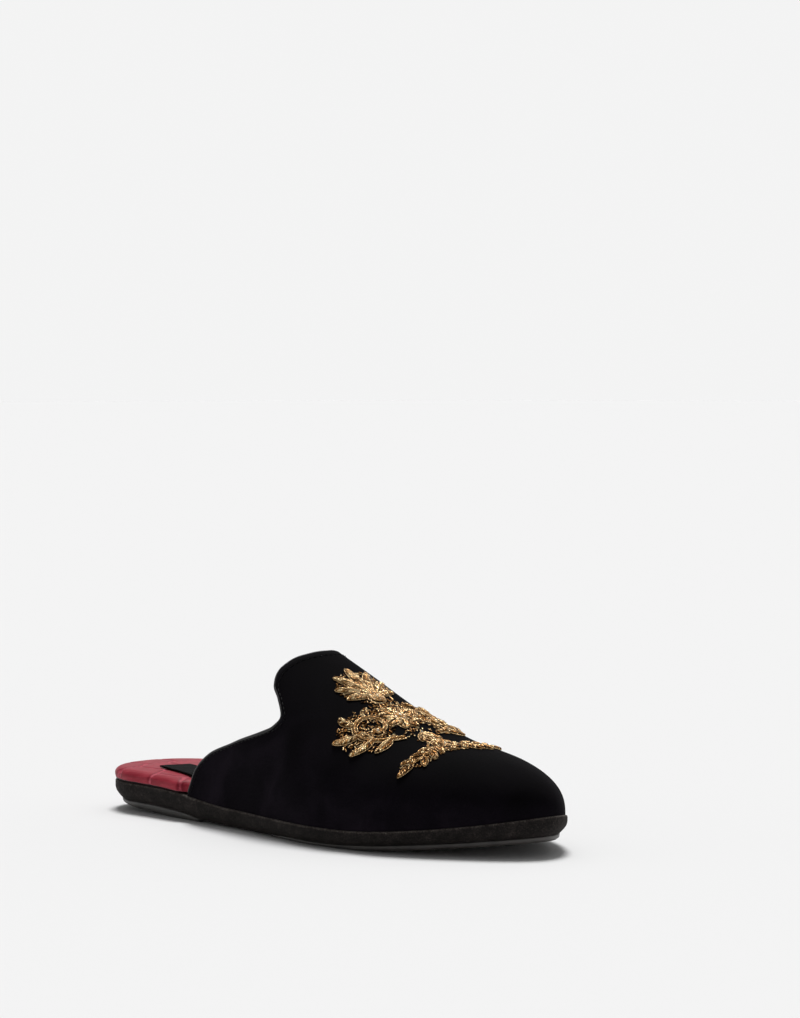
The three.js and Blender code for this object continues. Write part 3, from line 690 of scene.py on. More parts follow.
def upper_sheet(steps):
    """The velvet's outer face with its soft creases, open at the collar and along the feather."""

    def place(u, v):
        across = 2 * v - 1
        hand = np.where(across < 0, -1.0, 1.0)
        low = (1 - np.abs(across)) ** LEVEL_EASE
        high = np.abs(across) ** LEVEL_EASE
        level = low / (low + high)
        spots = upper_point(on_to_toe(collar_at(level) * LENGTH, u), level, hand)
        spots[..., 2] -= FEATHER_DOWN * (1 - smoothstep(level, 0, FEATHER_LEVEL))
        return to_row(spots)

    bm = grid(bmesh.new(), steps, steps, place)
    close(bm)
    face_up(bm)
    spots = on_last(bm)
    shift = np.zeros(len(spots))
    for x, z, along, up, degrees, depth, hand in CREASES:
        turn = math.radians(degrees)
        dx = spots[:, 0] - x
        dz = spots[:, 2] - z
        a = (dx * math.cos(turn) + dz * math.sin(turn)) / along
        b = (dz * math.cos(turn) - dx * math.sin(turn)) / up
        shift -= depth * np.exp(-a * a - b * b) * smoothstep(spots[:, 1] * hand, *CREASE_ASIDE)
    shift *= smoothstep(spots[:, 2], *CREASE_ABOVE)
    for vert, away in zip(bm.verts, shift):
        vert.co += vert.normal * away * MM
    bm.normal_update()
    # Painted shade: the velvet's colour darkens the more its surface faces up
    side, fall, power = TOP_SHADE_TONE.values()
    shade_by(bm, [side - fall * max(v.normal.z, 0) ** power for v in bm.verts])
    return bm


def collar_line(inside, count):
    """Places, outward normals and directions to the toe along the collar, inside mm in from its edge."""
    across = np.linspace(-1, 1, count)
    hand = np.where(across < 0, -1.0, 1.0)
    level = 1 - np.abs(across)
    start = collar_at(level) * LENGTH + inside
    spots = upper_point(start, level, hand)
    ahead = upper_point(start + 0.5, level, hand) - spots
    ahead /= np.linalg.norm(ahead, axis=1)[:, None]
    normals = np.cross(ahead, np.gradient(spots, axis=0))
    normals /= np.linalg.norm(normals, axis=1)[:, None]
    way = np.concatenate([[0], np.cumsum(np.linalg.norm(np.diff(spots, axis=0), axis=1))])
    return spots, normals, ahead, way


def turned_edge(bm):
    """The lining turned over the collar's edge as a narrow roll."""
    spots, normals, ahead, way = collar_line(0.0, 260)
    middle = spots - normals * WALL / 2 - ahead * COLLAR_ROLL
    radii = np.full(len(spots), WALL / 2 + COLLAR_SWELL)
    radii[[1, -2]] *= 0.7
    tube(bm, to_row(middle), normals, radii, 12, LINING, PLAIN, way)


def collar_stitches(bm):
    """A row of small stitches a little inside the collar's edge."""
    spots, normals, _, way = collar_line(STITCH_IN, 900)
    share = np.linspace(0, 1, len(STITCH_TAPER))
    lift = STITCH_LIFT + STITCH_ARCH * np.sin(math.pi * share)
    for k in range(int(way[-1] / STITCH_PITCH) - 1):
        at = STITCH_PITCH * (k + 0.5) + STITCH_LENGTH * share
        away = read_off(at, way, normals)
        path = to_row(read_off(at, way, spots) + away * lift[:, None])
        tube(bm, path, away, STITCH_RADIUS * STITCH_TAPER, 5, THREAD, PLAIN, at - at[0])


def build_upper(sizes):
    bm = upper_sheet(sizes.upper_steps)
    outside = set(bm.faces)
    bmesh.ops.solidify(bm, geom=list(bm.faces), thickness=WALL * MM)
    bm.faces.ensure_lookup_table()
    bm.normal_update()
    middle = Vector(to_row(INSIDE_VAMP))
    for face in bm.faces:
        inner = face not in outside and face.normal.dot(face.calc_center_median() - middle) < 0
        face.material_index = LINING if inner else VELVET
    turned_edge(bm)
    collar_stitches(bm)
    materials = [
        shared("silk velvet", velvet_look),
        shared("black kid lining", lining_look),
        shared("waxed sewing thread", thread_look),
    ]
    return finish(bm, "velvet_upper", ["upper"], materials)


def ring_place(sides, top, bottom, profile):
    """Place function of a closed ring across the shoe: lateral side, below, medial side, above."""
    n = len(profile)
    rows = 2 * n + 2

    def place(u, v):
        x = sides(u)
        k = np.rint(v * rows).astype(int) % rows
        spots = np.zeros((len(x), 3))
        corners = {}
        for hand in (-1.0, 1.0):
            corners[hand] = []
            for inset, z in profile:
                px, py = edge(x, hand, inset)
                corners[hand].append(np.stack([px, py, z(px, hand)], -1))
        for i in range(n):
            spots[k == i] = corners[-1.0][i][k == i]
            spots[k == 2 * n - i] = corners[1.0][i][k == 2 * n - i]
        for at, surface, row in ((n, bottom, n - 1), (rows - 1, top, 0)):
            mid = (corners[-1.0][row] + corners[1.0][row]) / 2
            mid[:, 2] = surface(mid[:, 0])
            spots[k == at] = mid[k == at]
        return spots

    return place, rows


def build_midsole():
    def underside(x, hand=0.0):
        return pad_top_z(x) + SEAT + ARCH_LIFT * arch_at(x / LENGTH) * (1 + hand) / 2

    def side(drop):
        return lambda x, hand: platform_z(x) * (1 - drop) + underside(x, hand) * drop

    drops = np.linspace(0, 1, BAND_ROWS) ** BAND_GATHER
    profile = [(BAND_TUCK * float(band_tuck_at(drop)), side(drop)) for drop in drops]
    place, rows = ring_place(heel_to_toe, platform_z, underside, profile)
    bm = grid(bmesh.new(), BAND_STEPS, rows, lambda u, v: to_row(place(u, v)))
    close(bm)
    spots = on_last(bm)
    # Painted highlight: the band's colour turns paler in a strip along its top edge
    shade_by(bm, 1 - smoothstep(platform_z(spots[:, 0]) - spots[:, 2], *EDGE_HIGHLIGHT_DEPTH))
    finish(bm, "suede_platform", ["midsole"], [shared("brown-black suede", suede_look)])


def pad_mesh(span, hollow):
    """A rubber pad over span, with its inner end bowed in by hollow."""

    def side(drop):
        return lambda x, hand: pad_top_z(x) * (1 - drop) + tread_z(x) * drop

    profile = []
    for drop in PAD_DROPS:
        curl = max(drop - PAD_TURN, 0) / (1 - PAD_TURN)
        bevel = PAD_LEAN * drop / PAD_TURN if drop < PAD_TURN else PAD_LEAN + (1 - PAD_LEAN) * curl**PAD_CURL
        profile.append((BAND_TUCK + PAD_EDGE * bevel, side(drop)))
    place, rows = ring_place(span, pad_top_z, tread_z, profile)

    def bowed(u, v):
        spots = place(u, v)
        k = np.rint(v * rows).astype(int) % rows
        below, above = k == len(profile), k == rows - 1
        spots[:, 0] += np.where(below | above, hollow(span(u)), 0)
        x, z = spots[:, 0], spots[:, 2]
        spots[:, 2] = np.where(below, tread_z(x), np.where(above, pad_top_z(x), z))
        return to_row(spots)

    bm = grid(bmesh.new(), PAD_STEPS, rows, bowed)
    cap(bm)
    return bm


def build_pads():
    rubber = [shared("moulded rubber", rubber_look)]
    end = HEEL_PAD_END * LENGTH
    start = FORE_PAD_START * LENGTH
    flat = LENGTH - TOE_ROUND
    heel = pad_mesh(
        lambda u: station(u * (HEEL_ARC + end - HEEL_ROUND)),
        lambda x: -PAD_BOW * np.clip((x - HEEL_ROUND) / (end - HEEL_ROUND), 0, 1) ** 2,
    )
    fore = pad_mesh(
        lambda u: on_to_toe(start, u),
        lambda x: PAD_BOW * np.clip((flat - x) / (flat - start), 0, 1) ** 2,
    )
    finish(heel, "rubber_heel_pad", ["outsole_heel"], rubber)
    finish(fore, "rubber_forefoot_pad", ["outsole_forefoot"], rubber)


def plates(x, y, pitch_x, pitch_y):
    """Pressed plates: how far each point lies from the nearest groove, in shares of a plate."""
    rng = np.random.default_rng(PLATE_SEED)
    near = np.full(len(x), 1e9)
    second = np.full(len(x), 1e9)
    for column in range(-1, int(LENGTH / pitch_x) + 3):
        for row in range(-5, 6):
            jitter = rng.uniform(-PLATE_JITTER, PLATE_JITTER, 2)
            sx = pitch_x * (column + 0.5 + jitter[0])
            sy = row * pitch_y + 0.5 * pitch_y * (column % 2) + pitch_y * jitter[1]
            d = (np.abs((x - sx) / pitch_x) ** 3 + np.abs((y - sy) / pitch_y) ** 3) ** (1 / 3)
            second = np.where(d < near, near, np.minimum(second, d))
            near = np.minimum(near, d)
    return second - near


def build_insole(sizes):
    inside = FEATHER_IN + WALL + SEAT + INSOLE_SLACK
    out = INSOLE_IN - INSOLE_BULGE

    def place(u, v):
        x = heel_to_toe(u)
        inset = out + (inside - INSOLE_IN + INSOLE_BULGE) * inside_at(x / LENGTH)
        across = 2 * v - 1
        hand = np.where(across < 0, -1.0, 1.0)
        reach = np.abs(across)
        turn = (0.5 - 0.75 * np.clip((reach - 1 + INSOLE_SIDE) / INSOLE_SIDE, 0, 1)) * math.pi
        edge_in = inset + np.where(turn < 0, INSOLE_TUCK, INSOLE_ROUND) * (1 - np.cos(turn))
        px, py = edge(x, hand, edge_in)
        other_x, other_y = edge(x, -hand, inset + INSOLE_ROUND)
        mid_x, mid_y = (px + other_x) / 2, (py + other_y) / 2
        t = np.clip(reach / (1 - INSOLE_SIDE), 0, 1)
        on_top = reach < 1 - INSOLE_SIDE
        sx = np.where(on_top, mid_x + (px - mid_x) * t, px)
        sy = np.where(on_top, mid_y + (py - mid_y) * t, py)
        over = INSOLE_WIDEST * (1 - np.sin(turn))
        under = INSOLE_WIDEST - (1 - INSOLE_WIDEST) * np.sin(turn) / math.sin(math.pi / 4)
        thick = insole_z(sx) - platform_z(sx) - SEAT
        z = insole_z(sx) - thick * np.where(turn < 0, under, over)
        z += np.where(on_top, INSOLE_CROWN * round_ends(x) * (1 - t * t), 0)
        return to_row(np.stack([sx, sy, z], -1))

    bm = grid(bmesh.new(), *INSOLE_STEPS, place)
    cap(bm)
    bm.normal_update()
    spots = on_last(bm)
    raised = plates(spots[:, 0], spots[:, 1], sizes.plate_length / MM, sizes.plate_width / MM)
    facing = smoothstep(np.array([v.normal.z for v in bm.verts]), -0.2, 0.3)
    sunk = (1 - smoothstep(raised, 0.0, GROOVE_HALF)) * facing * sizes.groove_depth
    for vert, down in zip(bm.verts, sunk):
        vert.co -= vert.normal * down
    spots = on_last(bm)
    tones = PLATE_TONE["groove"] + PLATE_TONE["rise"] * smoothstep(raised, *GROOVE_TONE)
    # Painted shade: the insole's lowest rim, tucked in over the band, is coloured near black
    tucked_shade = spots[:, 2] < platform_z(spots[:, 0]) + SEAT + INSOLE_SHADE_RISE
    shade_by(bm, np.where(tucked_shade, PLATE_TONE["tucked_shade"], tones))
    bm.normal_update()
    leather = [shared("crimson embossed calf", croc_look)]
    piece = finish(bm, "embossed_insole", ["insole"], leather)


PANEL_LEAF = {"steps": 5, "root": 0.16, "belly": 0.85, "round": 0.8, "tip": 0.06}
PALMETTE = {"x": 0, "y": 0.03, "boss": 0.052, "start": 0.035, "curl": 0.35}
PALMETTE_PETALS = [(0, 0.275, 0.07), (25, 0.255, 0.066), (50, 0.215, 0.06), (76, 0.165, 0.052)]
ROSETTE = {"x": 0, "y": -0.165, "boss": 0.046, "petals": 8, "first": 22.5}
ROSETTE_PETAL = {"length": 0.114, "width": 0.066, "start": 0.028}
SCROLL = {
    "x": 0.11, "y": -0.35, "turn": 80, "sweep": -345, "tighten": 1.75,
    "length": 0.62, "width": 0.038, "tip": 0.022, "steps": 15,
}
SCROLL_LEAVES = [
    (2, 42, 0.12, 0.05, -40), (4, 44, 0.12, 0.05, -40), (6, 46, 0.115, 0.048, -40),
    (8, 50, 0.105, 0.044, -40), (10, 56, 0.085, 0.038, -40), (4, -40, 0.1, 0.04, 40),
]
SCROLL_EYE = 0.03
SPRAY = {
    "x": 0.062, "y": -0.52, "turn": 123, "sweep": -26, "tighten": 1.0,
    "length": 0.2, "width": 0.02, "tip": 0.014, "steps": 6,
}
SPRAY_LEAVES = [
    (1, -42, 0.085, 0.036, 20), (3, -42, 0.085, 0.036, 20), (5, -42, 0.08, 0.034, 20),
    (0, 44, 0.085, 0.036, -20), (2, 44, 0.085, 0.036, -20), (4, 44, 0.08, 0.034, -20), (6, 0, 0.09, 0.036, 0),
]
HUSK = {"top": -0.345, "pitch": 0.094, "length": 0.105, "width": 0.04, "spread": 38}
HUSK_SIZES = [1, 0.86, 0.74]

# Thicknesses of the threads (millimetres)
BULLION = 0.46
PURL = 0.4
ROPE = 0.62
BEAD = 0.75
PADDING = 0.75
CHIP = 0.36
CHIP_LENGTH = 1.9
CHIP_PITCH = 1.25
CHIP_GAP = 0.7
CHIP_ALONE = 3.4
CHIP_REACH = 6.5
GILT, SHADE_GILT, SILVER = 0, 1, 2

# How the threads lie: swell, tapers and slants are shares, the rest is in millimetres or counts;
# a chip needs work on CHIP_SIDES of its eight sides
STRAND_SWELL = 0.16
PURL_BEAD = 2.3
CORD_STEP = 0.32
CORD_TWIST = 7
BULLION_TAPER = np.array([0.6, 0.95, 1, 1, 0.95, 0.6])
CHIP_TAPER = np.array([0.8, 1, 1, 1, 0.8])
CHIP_JITTER = 0.4
CHIP_SIDES = 6
LEAF_ROWS = 21
LEAF_COLUMNS = 6
LEAF_BASE = 0.15
SHORT_LEAF = 16
SHORT_SLANT, LONG_SLANT = 0.17, 0.11
STRANDS_FROM, STRANDS_OVER, STRANDS_END = 0.02, 0.86, 0.985
EDGE_FROM, EDGE_OVER = 0.06, 0.86
BOSS_HOLE = 0.25
THICK_STEM = 3
STITCH_SEED = 11


class Velvet:
    """The cloth under the embroidery: turns flat panel places into places and normals on the velvet."""

    def __init__(self, steps):
        bm = upper_sheet(steps)
        self.tree = BVHTree.FromBMesh(bm)
        bm.free()
        half = GOLDWORK_LENGTH * GOLDWORK_SLOPE_OVER
        x = GOLDWORK_SHARE * LENGTH
        heights = INSTEP_HEIGHT * ridge_height_at(np.array([x - half, x, x + half]) / LENGTH)
        slope = math.atan2(heights[0] - heights[2], 2 * half)
        self.across = np.array([0.0, 1.0, 0.0])
        self.up = np.array([-math.cos(slope), 0.0, math.sin(slope)])
        self.out = np.array([math.sin(slope), 0.0, math.cos(slope)])
        y = BALL_WIDTH * float(ridge_across_at(x / LENGTH)) + GOLDWORK_ACROSS
        self.middle = np.array([x, y, heights[1]])
        self.hand = 1.0
        self.marks = []
        self.rng = np.random.default_rng(STITCH_SEED)

    def lay(self, path, heights):
        """Places and normals of flat points (millimetres) at heights over the velvet."""
        spots = []
        normals = []
        for (x, y), height in zip(path, heights):
            self.marks.append((x * self.hand, y))
            flat = self.middle + self.across * x * self.hand + self.up * y
            start = Vector(to_row(flat + self.out * 50))
            hit, normal, _, _ = self.tree.ray_cast(start, Vector(-self.out))
            if hit is None:
                raise RuntimeError("an embroidered point lies off the velvet")
            spots.append(hit + normal * (height * MM))
            normals.append(normal)
        return np.array(spots), np.array(normals)


def through(points, count):
    """A count of points on a smooth curve through the given ones."""
    p = np.array(points, float)
    ext = np.vstack([2 * p[0] - p[1], p, 2 * p[-1] - p[-2]])
    t = np.linspace(0, len(p) - 1, count)
    i = np.clip(t.astype(int), 0, len(p) - 2)
    f = (t - i)[:, None]
    a, b, c, d = ext[i], ext[i + 1], ext[i + 2], ext[i + 3]
    return 0.5 * (2 * b + (c - a) * f + (2 * a - 5 * b + 4 * c - d) * f**2 + (3 * b - a - 3 * c + d) * f**3)


def read_off(at, way, rows):
    """Rows of places or directions read off where the way along them is at."""
    return np.stack([np.interp(at, way, column) for column in rows.T], -1)


def way_along(path):
    """Way from the start to each point of a flat path."""
    return np.concatenate([[0], np.cumsum(np.hypot(*np.diff(path, axis=0).T))])


def evenly(path, spacing):
    """The same flat path at even steps of about spacing, and the way along it."""
    way = way_along(path)
    at = np.linspace(0, way[-1], max(4, int(way[-1] / spacing) + 1))
    return read_off(at, way, path), at


def tube(bm, spots, normals, radii, sides, look, tone, way, twist=0.0):
    """A closed tube along spots; it is two strands twisted together, once round in each twist, if given."""
    tangent = np.gradient(spots, axis=0)
    tangent /= np.linalg.norm(tangent, axis=1)[:, None]
    side = np.cross(tangent, normals)
    side /= np.linalg.norm(side, axis=1)[:, None]
    up = np.cross(side, tangent)
    last = len(spots) - 1
    radii = np.array(radii, float)
    radii[[0, -1]] = 0

    def place(u, v):
        i = np.rint(u * last).astype(int)
        angle = v * 2 * math.pi
        r = radii[i] * MM
        if twist:
            r = r * (1 + STRAND_SWELL * np.cos(2 * (angle - 2 * math.pi * way[i] / twist)))
        return spots[i] + up[i] * (np.cos(angle) * r)[:, None] + side[i] * (np.sin(angle) * r)[:, None]

    grid(bm, last, sides, place, look, tone, (float(way[-1]), 1.0))


def couch(bm, velvet, path, heights, radii, sides, tone, way, twist=0.0):
    """Lays gilt wire or cord on the velvet along a flat path."""
    spots, normals = velvet.lay(path, heights)
    tube(bm, spots, normals, radii, sides, GILT, tone, way, twist)


def purl(bm, velvet, path, height, tone, radius):
    """Pearl purl: wire coiled into a string of round beads, couched along a line."""
    pearl = radius * PURL_BEAD
    path, way = evenly(path, pearl / 5)
    radii = radius * (0.6 + 0.4 * np.abs(np.sin(math.pi * way / pearl)))
    couch(bm, velvet, path, np.full(len(path), height), radii, 6, tone, way)


def rope(bm, velvet, path, height, tone, radius):
    """Plied gilt cord: two strands twisted together."""
    path, way = evenly(path, CORD_STEP)
    radii = np.full(len(path), radius)
    radii[[1, -2]] *= 0.75
    couch(bm, velvet, path, np.full(len(path), height), radii, 8, tone, way, radius * CORD_TWIST)


def bead(bm, velvet, x, y, height, radius=BEAD):
    spots, _ = velvet.lay([(x, y)], [height])
    at = Matrix.Translation(spots[0])
    made = bmesh.ops.create_icosphere(bm, subdivisions=2, radius=radius * MM, matrix=at)
    for face in {f for v in made["verts"] for f in v.link_faces}:
        face.material_index = SILVER


def walk(x, y, turns, steps):
    """Places reached from (x, y) by a step at each turn (degrees)."""
    turns = np.radians(turns)
    return np.stack([x + np.cumsum(np.sin(turns) * steps), y + np.cumsum(np.cos(turns) * steps)], -1)


def leaf_lines(x, y, turn, length, width, curl, start):
    """Spine, direction to the left and half width along a leaf, in millimetres on the panel."""
    count = PANEL_LEAF["steps"]
    turns = turn + curl * (np.arange(count + 1) / count - 0.5)
    steps = np.array([start] + [(length - start) / count] * count)
    spine = through(walk(x, y, turns, steps) * GOLDWORK_LENGTH, LEAF_ROWS)
    t = np.linspace(0, 1, LEAF_ROWS)
    heading = np.radians(np.interp(t, np.linspace(0, 1, count + 1), turns))
    left = np.stack([-np.cos(heading), np.sin(heading)], -1)
    swell = np.sin(math.pi * t ** PANEL_LEAF["belly"]) ** PANEL_LEAF["round"]
    half = width * GOLDWORK_LENGTH / 2 * (PANEL_LEAF["root"] + (1 - PANEL_LEAF["root"]) * swell)
    half[-1] = width * GOLDWORK_LENGTH / 2 * PANEL_LEAF["tip"]
    return spine, left, half


def leaf(bm, velvet, x, y, turn, length, width, curl=0, start=0, rib=True):
    """A leaf of slanting bullion over padding, with a purl edge and a cord along its middle."""
    spine, left, half = leaf_lines(x, y, turn, length, width, curl, start)
    t = np.linspace(0, 1, LEAF_ROWS)
    widest = half.max()
    reach = length * GOLDWORK_LENGTH

    def dome(across, size):
        return LEAF_BASE + PADDING * math.sqrt(max(1 - across**2, 0)) * (size / widest) ** 0.5

    flat = []
    heights = []
    for i in range(LEAF_ROWS):
        for j in range(LEAF_COLUMNS + 1):
            across = 2 * j / LEAF_COLUMNS - 1
            flat.append(spine[i] + left[i] * half[i] * 0.9 * across)
            heights.append(dome(across, half[i]))
    spots, _ = velvet.lay(flat, heights)

    def place(u, v):
        row = np.rint(u * (LEAF_ROWS - 1)).astype(int)
        return spots[row * (LEAF_COLUMNS + 1) + np.rint(v * LEAF_COLUMNS).astype(int)]

    # The padding under the strands is a dark gilt sheet: painted shade for the gaps between the strands
    grid(bm, LEAF_ROWS - 1, LEAF_COLUMNS, place, SHADE_GILT, 0.35, (reach, width * GOLDWORK_LENGTH))

    strands = max(5, int(reach / (BULLION * 2.0)))
    slant = SHORT_SLANT if reach < SHORT_LEAF else LONG_SLANT
    for hand in (-1, 1):
        for k in range(strands):
            first = STRANDS_FROM + STRANDS_OVER * k / (strands - 1)
            path = []
            lift = []
            for f in np.linspace(0, 1, len(BULLION_TAPER)):
                at = min(first + slant * f, STRANDS_END)
                size = float(np.interp(at, t, half))
                across = EDGE_FROM + EDGE_OVER * f
                path.append(read_off(at, t, spine) + read_off(at, t, left) * hand * size * across)
                lift.append(dome(across, size) + BULLION * 0.75)
            tone = float(velvet.rng.uniform(0.1, 1.0))
            couch(bm, velvet, path, lift, BULLION * BULLION_TAPER, 6, tone, way_along(np.array(path)))
    edges = [spine + left * half[:, None], (spine - left * half[:, None])[::-1]]
    purl(bm, velvet, np.vstack(edges), PURL * 0.9, 0.75, PURL)
    if rib:
        inner = spine[: int(LEAF_ROWS * 0.86)]
        rope(bm, velvet, inner, PADDING + BULLION * 1.5, 0.8, ROPE * 0.62)


def boss(bm, velvet, x, y, radius, beads=0):
    """A round boss: cord coiled over padding, with a purl ring and beads."""
    x, y, radius = x * GOLDWORK_LENGTH, y * GOLDWORK_LENGTH, radius * GOLDWORK_LENGTH
    turns = max(1.0, (radius - ROPE) / (ROPE * 1.5))
    angle = np.linspace(0, turns * 2 * math.pi, int(turns * 26) + 8)
    out = BOSS_HOLE + (radius - ROPE - BOSS_HOLE) * angle / angle[-1]
    even, way = evenly(np.stack([x + out * np.sin(angle), y + out * np.cos(angle)], -1), CORD_STEP)
    reach = np.hypot(even[:, 0] - x, even[:, 1] - y)
    lift = 0.4 + 0.9 * np.sqrt(np.clip(1 - (reach / radius) ** 2, 0, 1))
    couch(bm, velvet, even, lift, np.full(len(even), ROPE * 0.9), 8, 0.6, way, ROPE * CORD_TWIST)
    ring = np.linspace(0, 2 * math.pi, 40)
    circle = np.stack([x + radius * np.sin(ring), y + radius * np.cos(ring)], -1)
    purl(bm, velvet, circle, PURL * 0.9, 0.8, PURL * 1.1)
    bead(bm, velvet, x, y, 1.6)
    for turn in 2 * math.pi * np.arange(beads) / max(beads, 1):
        away = radius * 0.62
        bead(bm, velvet, x + away * math.sin(turn), y + away * math.cos(turn), 1.35, BEAD * 0.62)


def leafy_stem(bm, velvet, back, leaves):
    """Cords side by side along a stem, with leaves at its steps; gives the stem's end."""
    count = back["steps"]
    turns = back["turn"] + back["sweep"] * (np.arange(count + 1) / count) ** back["tighten"]
    places = walk(back["x"], back["y"], turns, np.array([0] + [back["length"] / count] * count))
    path = through(places * GOLDWORK_LENGTH, 8 * len(places))
    if back["width"] * GOLDWORK_LENGTH > THICK_STEM:
        onward = np.gradient(path, axis=0)
        onward /= np.hypot(onward[:, 0], onward[:, 1])[:, None]
        left = np.stack([-onward[:, 1], onward[:, 0]], -1)
        wide = np.linspace(back["width"], back["tip"], len(path)) * GOLDWORK_LENGTH
        rope(bm, velvet, path, 0.75, 0.55, ROPE * 1.05)
        for hand in (-1, 1):
            purl(bm, velvet, path + left * (hand * wide * 0.4)[:, None], 0.45, 0.75, PURL * 1.15)
    else:
        rope(bm, velvet, path, 0.6, 0.6, ROPE)
    for step, away, length, width, curl in leaves:
        leaf(bm, velvet, *places[step], turns[step] + away, length, width, curl, rib=length > 0.09)
    return places[-1]


def palmette(bm, velvet):
    for turn, length, width in reversed(PALMETTE_PETALS):
        for side in (-turn, turn) if turn else (0,):
            curl = side * PALMETTE["curl"]
            leaf(bm, velvet, PALMETTE["x"], PALMETTE["y"], side, length, width, curl, PALMETTE["start"])
    boss(bm, velvet, PALMETTE["x"], PALMETTE["y"], PALMETTE["boss"], beads=6)


def rosette(bm, velvet):
    x, y = ROSETTE["x"], ROSETTE["y"]
    for i in range(ROSETTE["petals"]):
        turn = ROSETTE["first"] + 360 * i / ROSETTE["petals"]
        leaf(bm, velvet, x, y, turn, rib=False, **ROSETTE_PETAL)
    boss(bm, velvet, x, y, ROSETTE["boss"], beads=7)


def scroll(bm, velvet):
    x, y = leafy_stem(bm, velvet, SCROLL, SCROLL_LEAVES)
    boss(bm, velvet, x, y, SCROLL_EYE)


def spray(bm, velvet):
    leafy_stem(bm, velvet, SPRAY, SPRAY_LEAVES)


def drop(bm, velvet):
    y = HUSK["top"]
    for size in HUSK_SIZES:
        for side in (-1, 1, 0):
            turn = 180 + side * HUSK["spread"]
            leaf(bm, velvet, 0, y, turn, HUSK["length"] * size, HUSK["width"] * size, rib=False)
        bead(bm, velvet, 0, y * GOLDWORK_LENGTH, 1.3, BEAD * 0.8)
        y -= HUSK["pitch"] * size


MOTIFS = (
    ("palmette", palmette, 1.0),
    ("rosette", rosette, 1.0),
    ("scroll_lateral", scroll, -1.0),
    ("scroll_medial", scroll, 1.0),
    ("spray_lateral", spray, -1.0),
    ("spray_medial", spray, 1.0),
    ("drop", drop, 1.0),
)


def chip_work(velvet, beds):
    """Short chips of bullion in every direction on the velvet between the motifs, below their height."""
    marks = np.vstack([places for _, places in beds])
    owner = np.concatenate([np.full(len(places), i) for i, (_, places) in enumerate(beds)])
    low, high = marks.min(0), marks.max(0)
    velvet.hand = 1.0
    rng = velvet.rng
    steps = np.linspace(-1, 1, len(CHIP_TAPER))
    way = (steps + 1) * CHIP_LENGTH / 2
    for y in np.arange(low[1], high[1], CHIP_PITCH):
        for x in np.arange(low[0], high[0], CHIP_PITCH):
            middle = np.array([x, y]) + rng.uniform(-CHIP_JITTER, CHIP_JITTER, 2) * CHIP_PITCH
            away = marks - middle
            reach = np.hypot(away[:, 0], away[:, 1])
            if not CHIP_GAP <= reach.min() <= CHIP_ALONE:
                continue
            close_by = away[reach < CHIP_REACH]
            sectors = (np.arctan2(close_by[:, 1], close_by[:, 0]) / math.pi * 4 + 4).astype(int) % 8
            if len(set(sectors)) < CHIP_SIDES:
                continue
            turn = rng.uniform(0, math.pi)
            along = np.array([math.sin(turn), math.cos(turn)]) * CHIP_LENGTH / 2
            path = [middle + along * f for f in steps]
            heights = [CHIP * 0.9] * len(steps)
            bed = beds[owner[reach.argmin()]][0]
            couch(bed, velvet, path, heights, CHIP * CHIP_TAPER, 6, float(rng.uniform(0.0, 0.95)), way)


def build_goldwork(sizes):
    velvet = Velvet(sizes.upper_steps)
    beds = []
    materials = [
        shared("gilt bullion", gilt_look, "#29180a", "#ad7b42", "#ffe6b4", 0.27),
        # Near-black brown gilt for the padding: painted shade between the strands
        shared("gilt padding in painted shade", gilt_look, "#120c06", "#33230f", "#6d5230", 0.5),
        shared("silver-lined bead", bead_look),
    ]
    for _, motif, hand in MOTIFS:
        bm = bmesh.new()
        velvet.hand = hand
        velvet.marks = []
        motif(bm, velvet)
        beds.append((bm, np.array(velvet.marks)))
    chip_work(velvet, beds)
    for (name, _, _), (bm, _) in zip(MOTIFS, beds):
        close(bm)
        finish(bm, "embroidered_" + name, ["goldwork_" + name], materials)


def build_label():
    """A plain woven tape label that lies on the insole at a slant."""
    low, high = (np.array(corner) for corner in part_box("insole_label"))
    middle = (low + high) / 2 / MM + ROW_ORIGIN
    turn = math.radians(LABEL["turn"])

    def place(u, v):
        x = (u - 0.5) * LABEL["length"]
        y = (v - 0.5) * LABEL["width"]
        px = middle[0] + x * math.cos(turn) - y * math.sin(turn)
        py = middle[1] + x * math.sin(turn) + y * math.cos(turn)
        ripple = LABEL["ripple"] * np.sin(px * 0.55) * np.sin(py * 0.4)
        z = insole_z(px) + INSOLE_CROWN + SEAT + LABEL["thick"] + ripple
        return to_row(np.stack([px, py, z], -1))

    bm = grid(bmesh.new(), int(LABEL["length"]), int(LABEL["width"]), place)
    face_up(bm)
    bmesh.ops.solidify(bm, geom=list(bm.faces), thickness=LABEL["thick"] * MM)
    close(bm)
    finish(bm, "woven_label", ["insole_label"], [shared("woven satin tape", tape_look)])


def build_sky(settings):
    """Even pale surround at eye level, dimmer overhead and in front, with one large soft box above."""
    world = bpy.data.worlds.new("studio")
    world.use_nodes = True
    tree = world.node_tree
    at = node(tree, "ShaderNodeTexCoord").outputs["Generated"]
    height = node(tree, "ShaderNodeSeparateXYZ", {"Vector": at}).outputs["Z"]

    def facing(towards):
        return node(tree, "ShaderNodeVectorMath", {0: at, 1: towards}, operation="DOT_PRODUCT").outputs["Value"]

    def eased(value, low, high, span):
        return between(tree, value, low, high, span, interpolation_type="SMOOTHSTEP")

    ceiling = eased(height, settings.surround, settings.ceiling, CEILING_SPAN)
    shell = product(tree, ceiling, eased(facing(FRONT_TOWARDS), 1.0, settings.front, FRONT_SPAN))
    glow = total(tree, shell, eased(facing(BOX_TOWARDS), 0.0, settings.soft_box, BOX_SPAN))
    feed(tree, tree.nodes["Background"], {"Strength": glow, "Color": (1, 1, 1, 1)})
    bpy.context.scene.world = world


def place_in_scene(name, data):
    made = bpy.data.objects.new(name, data)
    bpy.context.scene.collection.objects.link(made)
    return made


